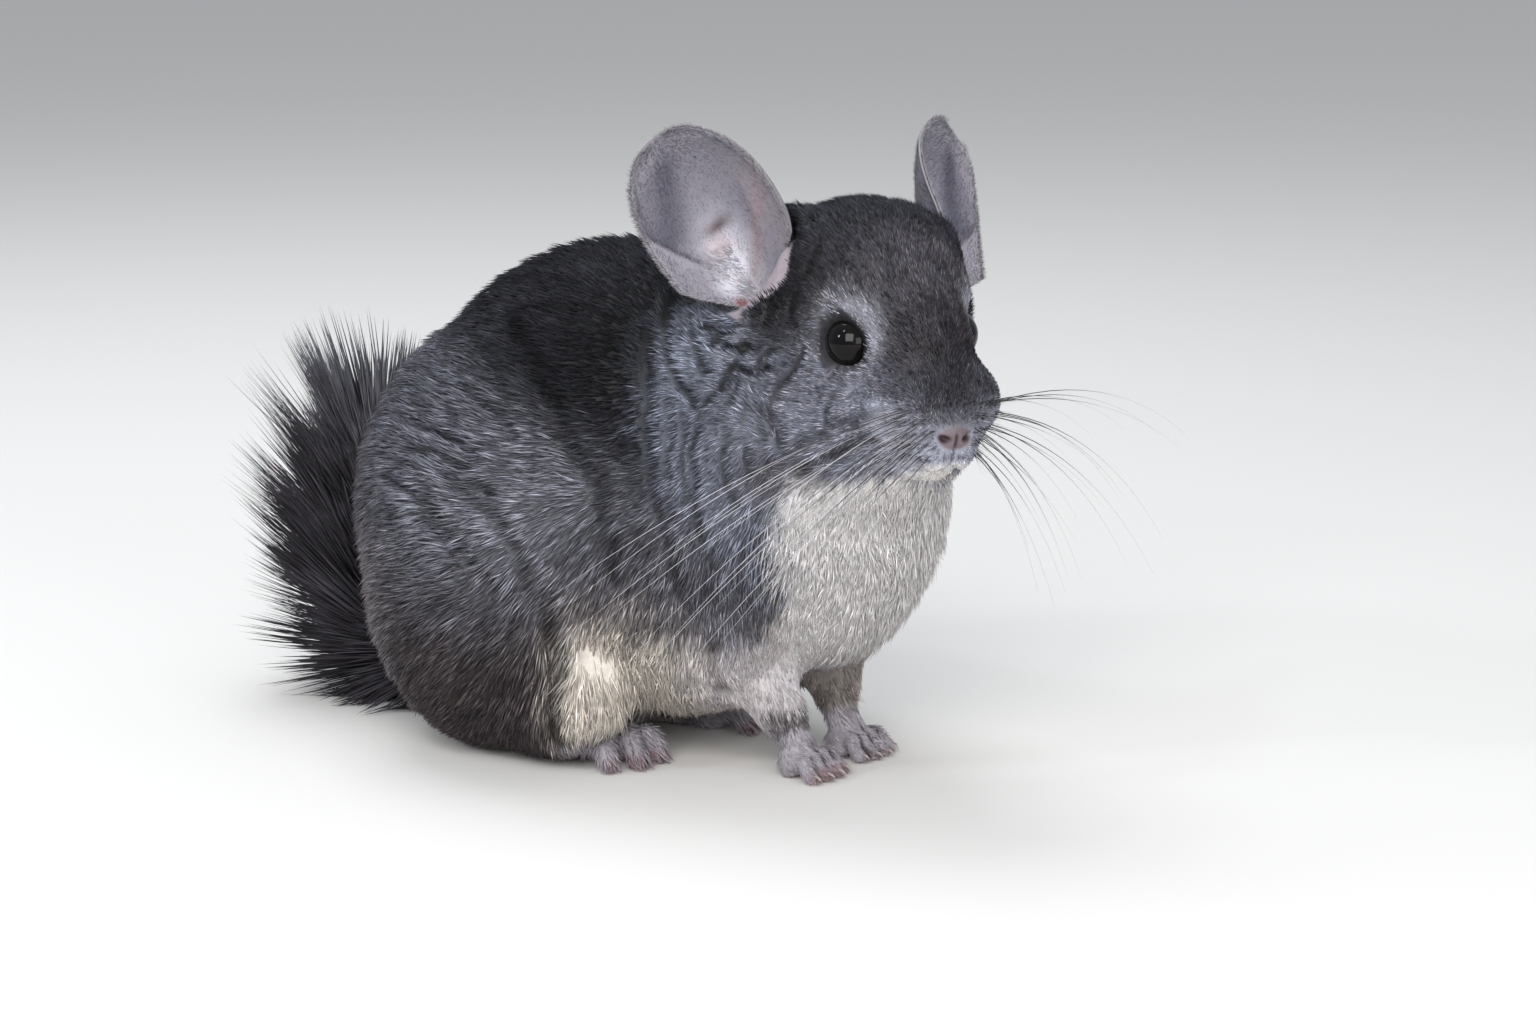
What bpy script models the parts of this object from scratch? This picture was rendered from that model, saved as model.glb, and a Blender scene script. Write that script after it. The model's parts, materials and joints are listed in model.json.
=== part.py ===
"""A life-size grey chinchilla, standing on all fours with its tail curled up behind it.

Metres, +X towards the chest, +Y to the animal's left, +Z up, with the floor at Z = 0.
The masses of the body are blocked out as ellipsoids, fused into one coat-shaped form, and parted
with thin cuts. Paws, feet, ears, eyes and tail are built on their own and trimmed to what they meet.
"""

import math
import random

import bmesh
import bpy
from mathutils import Matrix, Vector

GAP = 0.0003  # clearance between nodes that touch

# The trunk
BACK_HEIGHT = 0.135
BODY_HALF_WIDTH = 0.058
RUMP_X = -0.098
FRONT_Y = 0.006  # the chest and forefeet stand a little to the animal's left

# The head, in its own frame: +X to the nose, +Y left, +Z up, origin between the eyes
HEAD_AT = Vector((0.0752, -0.009, 0.1172))
HEAD_YAW = math.radians(-27)
HEAD_PITCH = math.radians(14)
EYE_RADIUS = 0.0065
EYE_SIDE = 0.0142
EYE_X = 0.0010
NOSE_REACH = 0.0338

# Limbs
FORE_STANCE = 0.0125
FORE_X = {-1: 0.0445, 1: 0.0422}  # by side: the left forefoot stands a little further back
HIND_STANCE = 0.0240
HIND_TOE_X = -0.002
HIND_SPLAY = math.radians(20)

# Face details, in the head frame
NOSE_DROP = -0.0134
MOUTH_DROP = -0.0238
MOUTH_TILT = 6
LID_FORWARD = 0.0034
LID_RADIUS = 0.0060
LID_CORNER = 0.0014
LID_THICK = 0.0015
LID_BOW = 0.0005
LID_STEPS = 18
LID_SIDES = 5

# Whiskers, in the head frame: rows on the pad of the lip, from its top down, each from the nose back
PAD_AT = (0.0215, 0.0140, -0.0130)
PAD_SEMI = (0.0078, 0.0080, 0.0076)
WHISKER_ROWS = 4
WHISKERS_A_ROW = 4
WHISKER_ROOT_X = (0.0250, 0.0185)
WHISKER_ROOT_Y = 0.0112
WHISKER_ROOT_Z = (-0.0090, -0.0170)
WHISKER_REACH = (0.048, 0.085)  # of the foremost and of the hindmost
WHISKER_RISE = (-0.16, -0.85)  # how much the top and the bottom row point up
WHISKER_DROOP = Vector((-0.10, 0, -0.36))
WHISKER_THICK = 0.00028
WHISKER_STEPS = 3

# Ears
EAR_LENGTH = 0.056
EAR_HALF = 0.0235
EAR_ROOT_HALF = 0.0130
EAR_WIDEST = 0.45
EAR_ROOT_CURL = 2.20
EAR_TIP_CURL = 0.38
EAR_BOW = 0.0040
EAR_SKEW = 0.20  # how much fuller the front half is low down
EAR_THICK = 0.0013
EAR_ROOT = (-0.0230, 0.0200, -0.0015)
EAR_LEAN = (-0.744, 0.364, 0.561)
EAR_OPENS = (0.766, 0.643, 0.00)
EAR_ROWS = 9
EAR_COLUMNS = 12

# Paws and feet
FORE_TOES = (-0.0050, -0.0017, 0.0017, 0.0050)
HIND_TOES = ((-0.0070, 0.0070), (0.0, 0.0080), (0.0068, 0.0040))
FOREPAW_TRIANGLES = 330
HIND_FOOT_TRIANGLES = 320

# Tail: the line of its bones, and the locks round it
TAIL_LINE = (
    (-0.074, 0.000, 0.018),
    (-0.094, 0.000, 0.011),
    (-0.108, 0.001, 0.021),
    (-0.113, 0.002, 0.040),
    (-0.109, 0.003, 0.059),
)
TAIL_LENGTHS = (("base", 0.0, 0.5, 3), ("plume", 0.5, 1.0, 5))
TAIL_CORE = 0.0085
TAIL_HAIR = 0.042
TAIL_LEAN = math.radians(65)
TAIL_AROUND = 7
LOCK_WIDE = 0.0095
LOCK_THICK = 0.0024
LOCK_STEPS = 3
FLOOR_CLEAR = 0.0030
TAIL_SOLVER = "MANIFOLD"  # EXACT leaves edges with three faces where the locks meet
SEED = 7

# Where the body is parted: planes in the head frame, and the ellipsoids that hold each limb
CUTS = {
    "head": ((-0.026, 0, -0.006), (0.80, 0, 0.60)),
    "neck": ((-0.040, 0, -0.012), (0.80, 0, 0.60)),
}
LIMBS = {
    "thigh": ((-0.036, 0.048, 0.044), (0.041, 0.034, 0.052), (0, 8, 0)),
    "foreleg": ((0.034, 0.022, 0.022), (0.018, 0.019, 0.036), (0, 12, 0)),
}

# Surface finish of the solids
BODY_VOXEL = 0.0016
BODY_TRIANGLES = 3300
PAW_VOXEL = 0.0006

COLOURS = {
    "coat": ((0.085, 0.085, 0.105), 0.9),
    "tail": ((0.035, 0.033, 0.038), 0.9),
    "ear": ((0.36, 0.31, 0.33), 0.6),
    "paw": ((0.40, 0.36, 0.38), 0.8),
    "eye": ((0.004, 0.004, 0.005), 0.05),
}


def head_matrix():
    """Head frame to world."""
    turn = Matrix.Rotation(HEAD_YAW, 4, "Z") @ Matrix.Rotation(HEAD_PITCH, 4, "Y")
    return Matrix.Translation(HEAD_AT) @ turn


# ---------------------------------------------------------------- making and joining meshes


def material(name):
    colour, roughness = COLOURS[name]
    made = bpy.data.materials.get(name)
    if made is None:
        made = bpy.data.materials.new(name)
        made.use_nodes = True
        shader = made.node_tree.nodes["Principled BSDF"]
        shader.inputs["Base Color"].default_value = (*colour, 1)
        shader.inputs["Roughness"].default_value = roughness
        made.diffuse_color = (*colour, 1)
    return made


def object_from(name, bm):
    mesh = bpy.data.meshes.new(name)
    bm.to_mesh(mesh)
    bm.free()
    obj = bpy.data.objects.new(name, mesh)
    bpy.context.scene.collection.objects.link(obj)
    return obj


def ellipsoid(centre, semi, turn=(0, 0, 0), frame=None, segments=32, rings=20):
    """A closed ellipsoid; turn is in degrees about X, Y and Z."""
    bm = bmesh.new()
    bmesh.ops.create_uvsphere(bm, u_segments=segments, v_segments=rings, radius=1)
    place = Matrix.Translation(centre)
    for axis, degrees in zip("ZYX", reversed(turn)):
        place = place @ Matrix.Rotation(math.radians(degrees), 4, axis)
    place = place @ Matrix.Diagonal((*semi, 1))
    if frame is not None:
        place = frame @ place
    bmesh.ops.transform(bm, matrix=place, verts=bm.verts)
    return object_from("ellipsoid", bm)


def ring_frames(points):
    """Tangent and two cross directions at each point of a line, turning as little as possible."""
    frames = []
    side = None
    for i, point in enumerate(points):
        ahead = points[min(i + 1, len(points) - 1)]
        behind = points[max(i - 1, 0)]
        tangent = (ahead - behind).normalized()
        if side is None:
            side = tangent.orthogonal().normalized()
        side = (side - tangent * side.dot(tangent)).normalized()
        frames.append((tangent, side, tangent.cross(side)))
    return frames


def tube(points, radii, sides=12):
    """A closed round tube along a line, with a cone of faces at each end."""
    bm = bmesh.new()
    rings = []
    for point, radius, (_, side, up) in zip(points, radii, ring_frames(points)):
        ring = []
        for i in range(sides):
            angle = math.tau * i / sides
            ring.append(bm.verts.new(point + radius * (math.cos(angle) * side + math.sin(angle) * up)))
        rings.append(ring)
    for low, high in zip(rings, rings[1:]):
        for i in range(sides):
            j = (i + 1) % sides
            bm.faces.new((low[i], low[j], high[j], high[i]))
    bm.faces.new(list(reversed(rings[0])))
    bm.faces.new(rings[-1])
    bmesh.ops.recalc_face_normals(bm, faces=bm.faces)
    return object_from("tube", bm)


def smooth_line(points, steps):
    """Points along a Catmull-Rom curve through the given ones."""
    line = []
    for i in range(len(points) - 1):
        before = points[max(i - 1, 0)]
        start, end = points[i], points[i + 1]
        after = points[min(i + 2, len(points) - 1)]
        for step in range(steps):
            t = step / steps
            line.append(
                0.5
                * (
                    2 * start
                    + (end - before) * t
                    + (2 * before - 5 * start + 4 * end - after) * t * t
                    + (3 * start - before - 3 * end + after) * t * t * t
                )
            )
    line.append(points[-1].copy())
    return line


def bake(obj):
    """Applies the object's modifiers."""
    graph = bpy.context.evaluated_depsgraph_get()
    mesh = bpy.data.meshes.new_from_object(obj.evaluated_get(graph))
    obj.modifiers.clear()
    obj.data = mesh
    return obj


def discard(objects):
    for obj in objects:
        bpy.data.objects.remove(obj)


def boolean(base, others, operation, solver="EXACT"):
    """Joins a list of closed meshes to base, or cuts them from it, and removes them."""
    group = bpy.data.collections.new("operands")
    bpy.context.scene.collection.children.link(group)
    for obj in others:
        group.objects.link(obj)
    modifier = base.modifiers.new("boolean", "BOOLEAN")
    modifier.operation = operation
    modifier.solver = solver
    modifier.operand_type = "COLLECTION"
    modifier.collection = group
    bake(base)
    discard(others)
    bpy.data.collections.remove(group)
    return keep_largest(base)


def keep_largest(obj):
    """Keeps the largest closed surface of a mesh."""
    bm = bmesh.new()
    bm.from_mesh(obj.data)
    unseen = set(bm.verts)
    shells = []
    while unseen:
        edge_of_search = [unseen.pop()]
        shell = []
        while edge_of_search:
            vertex = edge_of_search.pop()
            shell.append(vertex)
            for edge in vertex.link_edges:
                other = edge.other_vert(vertex)
                if other in unseen:
                    unseen.remove(other)
                    edge_of_search.append(other)
        shells.append(shell)
    shells.sort(key=len)
    for shell in shells[:-1]:
        bmesh.ops.delete(bm, geom=shell, context="VERTS")
    bm.to_mesh(obj.data)
    bm.free()
    return obj


def fused(name, pieces, voxel, relax, triangles):
    """One soft form from overlapping pieces: their shared hull of voxels, relaxed and thinned."""
    bm = bmesh.new()
    for piece in pieces:
        bm.from_mesh(piece.data)
    discard(pieces)
    obj = object_from(name, bm)
    remesh = obj.modifiers.new("remesh", "REMESH")
    remesh.mode = "VOXEL"
    remesh.voxel_size = voxel
    smooth = obj.modifiers.new("relax", "SMOOTH")
    smooth.factor = 0.5
    smooth.iterations = relax
    bake(obj)
    keep_largest(obj)
    return thinned(obj, triangles) if triangles else obj


def thinned(obj, triangles):
    """Fewer triangles for the same form."""
    bm = bmesh.new()
    bm.from_mesh(obj.data)
    bmesh.ops.triangulate(bm, faces=bm.faces)
    bm.to_mesh(obj.data)
    count = len(bm.faces)
    bm.free()
    if count > triangles:
        modifier = obj.modifiers.new("thin", "DECIMATE")
        modifier.ratio = triangles / count
        bake(obj)
    return obj


def inflated(obj, distance):
    """A copy of a closed mesh with its surface moved out."""
    copy = obj.copy()
    copy.data = obj.data.copy()
    bpy.context.scene.collection.objects.link(copy)
    bm = bmesh.new()
    bm.from_mesh(copy.data)
    bm.normal_update()
    moved = [vertex.co + vertex.normal * distance for vertex in bm.verts]
    for vertex, place in zip(bm.verts, moved):
        vertex.co = place
    bm.to_mesh(copy.data)
    bm.free()
    return copy


def trimmed(obj, *against, solver="EXACT"):
    """Cuts obj back so that it stops a gap short of each of the others."""
    return boolean(obj, [inflated(other, GAP) for other in against], "DIFFERENCE", solver)


def flattened(obj, height=0.0):
    """Cuts off what lies below a height: the soles are flat and the tail clears the floor."""
    bm = bmesh.new()
    bm.from_mesh(obj.data)
    cut = bmesh.ops.bisect_plane(
        bm,
        geom=bm.verts[:] + bm.edges[:] + bm.faces[:],
        plane_co=(0, 0, height),
        plane_no=(0, 0, 1),
        clear_inner=True,
    )
    edges = [item for item in cut["geom_cut"] if isinstance(item, bmesh.types.BMEdge)]
    bmesh.ops.holes_fill(bm, edges=edges, sides=0)
    bmesh.ops.triangulate(bm, faces=bm.faces)
    bmesh.ops.recalc_face_normals(bm, faces=bm.faces)
    bm.to_mesh(obj.data)
    bm.free()
    return obj


# ---------------------------------------------------------------- the masses of the body


def trunk_masses():
    """Ellipsoids of the trunk and coat, as (centre, semi-axes, turn)."""
    rump_length = 0.061
    shared = [
        # haunch mass, the widest and lowest part of the back
        ((RUMP_X + rump_length, 0, 0.060), (rump_length, BODY_HALF_WIDTH - 0.003, 0.060), (0, -4, 0)),
        # the arch of the back
        ((-0.016, 0, 0.074), (0.064, BODY_HALF_WIDTH - 0.005, BACK_HEIGHT - 0.074), (0, 0, 0)),
        # shoulders and ruff
        ((0.022, FRONT_Y / 2, 0.076), (0.048, 0.049, 0.054), (0, 20, 0)),
        # chest
        ((0.041, FRONT_Y, 0.070), (0.035, 0.035, 0.045), (0, 6, 0)),
        # ribs, between the haunches and the shoulders
        ((0.004, 0.002, 0.067), (0.048, 0.051, 0.058), (0, 0, 0)),
        # belly between the feet
        ((-0.010, 0.002, 0.040), (0.054, 0.044, 0.030), (0, 0, 0)),
        # throat, from the chest to the jaw
        ((0.052, 0.001, 0.092), (0.032, 0.032, 0.038), (0, 20, 0)),
        # nape and ruff, behind the ears
        ((0.036, 0.004, 0.098), (0.034, 0.037, 0.034), (0, 10, 0)),
    ]
    for side in (-1, 1):
        shared += [
            # thigh under its coat
            ((-0.036, side * 0.032, 0.048), (0.040, 0.029, 0.048), (0, 8, 0)),
            # knee and shin, down to the foot
            ((-0.018, side * 0.033, 0.022), (0.026, 0.018, 0.021), (0, 0, 0)),
            # shoulder and upper arm
            ((0.030, FRONT_Y + side * 0.025, 0.056), (0.022, 0.017, 0.032), (0, 6, 0)),
        ]
    return shared


def foreleg_line(side):
    return [
        Vector((0.026, FRONT_Y + side * 0.022, 0.050)),
        Vector((0.031, FRONT_Y + side * 0.019, 0.034)),
        Vector((FORE_X[side] - 0.008, FRONT_Y + side * 0.015, 0.020)),
        Vector((FORE_X[side] - 0.004, FRONT_Y + side * FORE_STANCE, 0.0125)),
    ]


def head_masses():
    """Ellipsoids of the head in its own frame."""
    shared = [
        ((-0.018, 0, 0.005), (0.030, 0.0245, 0.0240), (0, 0, 0)),  # skull
        ((-0.022, 0, -0.012), (0.028, 0.027, 0.025), (0, 0, 0)),  # jowls
        ((0.003, 0, 0.000), (0.022, 0.0155, 0.019), (0, 20, 0)),  # forehead to bridge
        ((0.014, 0, -0.010), (0.0175, 0.0130, 0.0135), (0, 14, 0)),  # muzzle
        ((0.024, 0, -0.0160), (0.0088, 0.0118, 0.0090), (0, 0, 0)),  # upper lip
        ((0.014, 0, -0.0245), (0.0145, 0.0095, 0.0070), (0, 0, 0)),  # chin and lower jaw
    ]
    for side in (-1, 1):
        shared += [
            ((-0.007, side * 0.012, -0.013), (0.020, 0.0125, 0.015), (0, 0, 0)),  # cheek
            ((0.005, side * 0.0080, -0.0125), (0.017, 0.0095, 0.0110), (0, 0, 0)),  # from cheek to whisker pad
            ((-0.003, side * 0.0092, 0.002), (0.012, 0.0080, 0.011), (0, 0, 0)),  # socket
            ((0.0200, side * 0.0090, -0.0088), (0.0110, 0.0082, 0.0098), (0, 0, 0)),  # whisker pad
            ((-0.020, side * 0.0140, 0.013), (0.014, 0.0100, 0.0140), (0, 0, 0)),  # brow of the ear
            ((-0.025, side * 0.0178, 0.003), (0.012, 0.0085, 0.012), (0, 0, 0)),  # root of the ear
            ((-0.0270, side * 0.0170, 0.0155), (0.0120, 0.0090, 0.0110), (0, 0, 0)),  # crown beside the ear
            ((-0.0215, side * 0.0245, -0.0020), (0.0095, 0.0075, 0.0090), (0, 0, 0)),  # fur in front of the ear
        ]
    return shared


def build_body():
    """Trunk, neck, head and upper limbs as one closed form."""
    pieces = [ellipsoid(*mass) for mass in trunk_masses()]
    head = head_matrix()
    pieces += [ellipsoid(*mass, frame=head) for mass in head_masses()]
    for side in (-1, 1):
        line = smooth_line(foreleg_line(side), 4)
        radii = [0.013 - 0.0066 * i / (len(line) - 1) for i in range(len(line))]
        pieces.append(tube(line, radii))
    return fused("body", pieces, BODY_VOXEL, 8, BODY_TRIANGLES)


# ---------------------------------------------------------------- the face


def eye_place(side):
    return Vector((EYE_X, side * EYE_SIDE, 0))


def eye_outward(side):
    """The way an eye looks, in the head frame."""
    return Vector((0.46, side * 0.87, 0.16)).normalized()


def lid_ring(side):
    """The rim of the lids: an almond ring round the eyeball, closed to a corner at its front."""
    outward = eye_outward(side)
    front = (Vector((1, 0, -0.25)) - outward * outward.dot(Vector((1, 0, -0.25)))).normalized()
    up = outward.cross(front) * side
    centre = eye_place(side) + outward * LID_FORWARD
    line = []
    for i in range(LID_STEPS):
        angle = math.tau * i / LID_STEPS
        corner = LID_CORNER * max(0.0, math.cos(angle)) ** 6
        reach = LID_RADIUS + corner
        bow = outward * (-LID_BOW * math.cos(angle) ** 2)
        line.append(centre + front * math.cos(angle) * reach + up * math.sin(angle) * LID_RADIUS + bow)
    bm = bmesh.new()
    rings = []
    for i, point in enumerate(line):
        tangent = (line[(i + 1) % LID_STEPS] - line[i - 1]).normalized()
        inward = (centre - point).normalized()
        across = tangent.cross(inward).normalized()
        ring = []
        for k in range(LID_SIDES):
            angle = math.tau * k / LID_SIDES
            ring.append(bm.verts.new(point + LID_THICK * (math.cos(angle) * inward + math.sin(angle) * across)))
        rings.append(ring)
    for i in range(LID_STEPS):
        low, high = rings[i], rings[(i + 1) % LID_STEPS]
        for k in range(LID_SIDES):
            j = (k + 1) % LID_SIDES
            bm.faces.new((low[k], low[j], high[j], high[k]))
    bmesh.ops.recalc_face_normals(bm, faces=bm.faces)
    bmesh.ops.transform(bm, matrix=head_matrix(), verts=bm.verts)
    return object_from("lid", bm)


def add_face(body):
    """Nose pad, lips and lids are joined to the body, then sockets, nostrils and the mouth are cut."""
    head = head_matrix()
    added = [
        ellipsoid((NOSE_REACH - 0.0038, 0, NOSE_DROP), (0.0034, 0.0046, 0.0033), (0, 20, 0), head, 14, 8),
    ]
    for side in (-1, 1):
        added.append(lid_ring(side))
        added.append(
            ellipsoid(
                (NOSE_REACH - 0.0060, side * 0.0034, NOSE_DROP - 0.0062),
                (0.0050, 0.0040, 0.0042),
                (0, 15, 0),
                head,
                12,
                8,
            )
        )
    boolean(body, added, "UNION")
    cut = []
    for side in (-1, 1):
        socket = EYE_RADIUS + GAP
        cut.append(ellipsoid(eye_place(side), (socket,) * 3, (0, 0, 0), head, 16, 10))
        cut.append(
            ellipsoid(
                (NOSE_REACH - 0.0010, side * 0.0024, NOSE_DROP - 0.0006),
                (0.0022, 0.0009, 0.0013),
                (side * 35, 0, side * 25),
                head,
                8,
                6,
            )
        )
    # the split of the upper lip, then the line of the mouth
    cut.append(ellipsoid((NOSE_REACH - 0.0010, 0, NOSE_DROP - 0.0062), (0.0036, 0.0004, 0.0050), (0, 0, 0), head, 10, 6))
    cut.append(
        ellipsoid((NOSE_REACH - 0.0120, 0, MOUTH_DROP), (0.0120, 0.0078, 0.0005), (0, MOUTH_TILT, 0), head, 20, 6)
    )
    return boolean(body, cut, "DIFFERENCE")


# ---------------------------------------------------------------- whiskers


def whisker_line(side, row, place):
    """The line of one whisker: it leaves the lip sideways, then droops back and down."""
    down, back = row / (WHISKER_ROWS - 1), place / (WHISKERS_A_ROW - 1)
    between = lambda pair, share: pair[0] + (pair[1] - pair[0]) * share
    root = Vector((between(WHISKER_ROOT_X, back), WHISKER_ROOT_Y, between(WHISKER_ROOT_Z, down)))
    heading = Vector((-0.12 - 0.22 * back, 1, between(WHISKER_RISE, down))).normalized()
    reach = between(WHISKER_REACH, back) * (1 - 0.30 * down)
    line = []
    for step in range(WHISKER_STEPS + 1):
        t = step / WHISKER_STEPS
        point = root + (heading * t + WHISKER_DROOP * t * t) * reach
        line.append(head_matrix() @ (point * Vector((1, side, 1))))
    return line


def pad_region(side, wider=0.0):
    centre = Vector(PAD_AT) * Vector((1, side, 1))
    return ellipsoid(centre, tuple(axis + wider for axis in PAD_SEMI), (0, 0, 0), head_matrix(), 12, 6)


def build_whiskers(name, side, body):
    """The pad of the lip, parted from the head, and the whiskers that grow from it."""
    pad = part_off(body, name, pad_region(side), pad_region(side, GAP))
    radii = [WHISKER_THICK * (1 - 0.6 * step / WHISKER_STEPS) for step in range(WHISKER_STEPS + 1)]
    whiskers = [
        tube(whisker_line(side, row, place), radii, 3)
        for row in range(WHISKER_ROWS)
        for place in range(WHISKERS_A_ROW)
    ]
    return boolean(pad, whiskers, "UNION")


# ---------------------------------------------------------------- ears


def ear_width(along):
    """Half the width of the ear, measured round its curve, from root to tip."""
    if along < EAR_WIDEST:
        t = along / EAR_WIDEST
        return EAR_ROOT_HALF + (EAR_HALF - EAR_ROOT_HALF) * math.sin(t * math.pi / 2)
    t = (along - EAR_WIDEST) / (1 - EAR_WIDEST)
    return EAR_HALF * math.sqrt(max(0.0, 1 - t**2.5))


def ear_point(along, across, side):
    """A point of the ear's middle surface: across is -1 to 1, Y is the way it opens, Z its length."""
    half = ear_width(along) * (1 + side * EAR_SKEW * across * (1 - along))
    curl = EAR_TIP_CURL + (EAR_ROOT_CURL - EAR_TIP_CURL) * (1 - along) ** 1.7
    radius = half / curl
    angle = across * curl
    bow = -EAR_BOW * math.sin(math.pi * along * 0.9)
    return Vector((radius * math.sin(angle), radius * (1 - math.cos(angle)) + bow, along * EAR_LENGTH))


def ear_matrix(side):
    """Ear frame to world: its length, the way it opens, and its root on the head."""
    length = Vector(EAR_LEAN) * Vector((1, side, 1))
    length.normalize()
    opens = Vector(EAR_OPENS) * Vector((1, side, 1))
    opens = (opens - length * opens.dot(length)).normalized()
    across = opens.cross(length)
    root = Vector(EAR_ROOT) * Vector((1, side, 1))
    turn = Matrix((across, opens, length)).transposed().to_4x4()
    return head_matrix() @ Matrix.Translation(root) @ turn


def build_ear(name, side, body):
    """A cupped leaf of even thickness, its two faces split into triangles alike."""
    alongs = [1 - (1 - i / EAR_ROWS) ** 1.5 for i in range(EAR_ROWS)]
    acrosses = [math.sin(math.pi / 2 * (2 * i / EAR_COLUMNS - 1)) for i in range(EAR_COLUMNS + 1)]
    bm = bmesh.new()
    sheets = []
    for face in (-1, 1):
        sheet = []
        for along in alongs:
            row = []
            for across in acrosses:
                step = 0.002
                here = ear_point(along, across, side)
                d_along = ear_point(along + step, across, side) - here
                d_across = ear_point(along, across + step, side) - here
                normal = d_along.cross(d_across).normalized()
                thick = EAR_THICK * (1 - 0.45 * max(along, abs(across)) ** 3)
                row.append(bm.verts.new(here + normal * face * thick / 2))
            sheet.append(row)
        tip = bm.verts.new(ear_point(1, 0, side) + Vector((0, face * EAR_THICK * 0.25, 0)))
        sheets.append((sheet, tip))
    columns = len(acrosses)
    for (sheet, tip), forward in zip(sheets, (False, True)):
        for low, high in zip(sheet, sheet[1:]):
            for k in range(columns - 1):
                triangles = ((low[k], low[k + 1], high[k + 1]), (low[k], high[k + 1], high[k]))
                for triangle in triangles:
                    bm.faces.new(triangle if forward else triangle[::-1])
        for k in range(columns - 1):
            triangle = (sheet[-1][k], sheet[-1][k + 1], tip)
            bm.faces.new(triangle if forward else triangle[::-1])
    (back, back_tip), (front, front_tip) = sheets
    rim = lambda sheet, tip: [r[0] for r in sheet] + [tip] + [r[-1] for r in reversed(sheet)]
    outline = list(zip(rim(back, back_tip), rim(front, front_tip)))
    root = list(zip(reversed(back[0]), reversed(front[0])))
    loop = outline + root[1:-1]
    for (a, b), (c, d) in zip(loop, loop[1:] + loop[:1]):
        bm.faces.new((a, b, d))
        bm.faces.new((a, d, c))
    bmesh.ops.recalc_face_normals(bm, faces=bm.faces)
    bmesh.ops.transform(bm, matrix=ear_matrix(side), verts=bm.verts)
    bmesh.ops.recalc_face_normals(bm, faces=bm.faces)
    ear = object_from(name, bm)
    return trimmed(ear, body)


# ---------------------------------------------------------------- paws and feet


def toe(start, knuckle, end, thick):
    line = smooth_line([start, knuckle, end], 3)
    radii = [thick * (0.92 + 0.12 * math.sin(math.pi * i / (len(line) - 1))) for i in range(len(line))]
    return [tube(line, radii, 8), ellipsoid(end, (thick,) * 3, segments=10, rings=8)]


def claw(root, thick, length):
    tip = root + Vector((length, 0, -length * 0.45))
    middle = (root + tip) / 2 + Vector((0, 0, length * 0.12))
    return tube([root - Vector((length * 0.8, 0, 0)), root, middle, tip], [thick, thick, thick * 0.75, thick * 0.3], 4)


def build_forepaw(name, side):
    centre = Vector((FORE_X[side], FRONT_Y + side * FORE_STANCE, 0))
    wrist = [centre + Vector(step) for step in ((-0.006, side * 0.001, 0.020), (-0.004, 0, 0.012), (-0.001, 0, 0.005))]
    pieces = [
        tube(smooth_line(wrist, 4), [0.0040 + 0.00012 * i for i in range(9)], 12),
        ellipsoid(centre + Vector((-0.001, 0, 0.0050)), (0.0062, 0.0060, 0.0050), segments=16, rings=12),
    ]
    claws = []
    for spread in FORE_TOES:
        y = side * spread
        start = centre + Vector((-0.001, y * 0.7, 0.0052))
        knuckle = centre + Vector((0.0042, y, 0.0054))
        end = centre + Vector((0.0083 - abs(spread) * 0.35, y * 1.25, 0.0018))
        pieces += toe(start, knuckle, end, 0.00165)
        claws.append(claw(end + Vector((0.0012, 0, 0.0004)), 0.00045, 0.0022))
    paw = fused(name, pieces, PAW_VOXEL, 3, FOREPAW_TRIANGLES)
    boolean(paw, claws, "UNION")
    return flattened(paw)


def build_hind_foot(name, side):
    pieces = [
        ellipsoid((-0.018, 0, 0.0050), (0.024, 0.0070, 0.0058), segments=24, rings=12),
        ellipsoid((-0.033, 0, 0.0052), (0.0095, 0.0062, 0.0055), segments=16, rings=12),
        ellipsoid((-0.005, 0, 0.0050), (0.0085, 0.0086, 0.0056), segments=16, rings=12),
    ]
    claws = []
    for spread, reach in HIND_TOES:
        y = side * spread
        start = Vector((-0.005, y * 0.7, 0.0062))
        knuckle = Vector((reach * 0.55, y, 0.0066))
        end = Vector((reach, y * 1.12, 0.0026))
        pieces += toe(start, knuckle, end, 0.0029)
        claws.append(claw(end + Vector((0.0020, 0, 0.0006)), 0.0005, 0.0020))
    foot = fused(name, pieces, PAW_VOXEL * 1.3, 3, HIND_FOOT_TRIANGLES)
    boolean(foot, claws, "UNION")
    place = Matrix.Translation((HIND_TOE_X, side * HIND_STANCE, 0)) @ Matrix.Rotation(side * HIND_SPLAY, 4, "Z")
    foot.data.transform(place)
    return flattened(foot)


# ---------------------------------------------------------------- tail


def lock(line, wide, thick, flat):
    """A flat, tapered lock of hair along a line; flat is the way its broad face looks."""
    bm = bmesh.new()
    rings = []
    count = len(line)
    for i, point in enumerate(line[:-1]):
        tangent = (line[i + 1] - line[max(i - 1, 0)]).normalized()
        across = tangent.cross(flat).normalized()
        face = across.cross(tangent)
        share = i / (count - 1)
        half = wide / 2 * math.sin(math.pi * (0.12 + 0.88 * share**0.8))
        depth = thick / 2 * (1 - share) ** 0.7
        corners = (across * half, face * depth, -across * half, -face * depth)
        rings.append([bm.verts.new(point + corner) for corner in corners])
    tip = bm.verts.new(line[-1])
    for low, high in zip(rings, rings[1:]):
        for i in range(4):
            j = (i + 1) % 4
            bm.faces.new((low[i], low[j], high[j], high[i]))
    for i in range(4):
        bm.faces.new((rings[-1][i], rings[-1][(i + 1) % 4], tip))
    bm.faces.new(list(reversed(rings[0])))
    bmesh.ops.triangulate(bm, faces=bm.faces)
    bmesh.ops.recalc_face_normals(bm, faces=bm.faces)
    return object_from("lock", bm)


def tail_bone():
    return smooth_line([Vector(point) for point in TAIL_LINE], 6)


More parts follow.
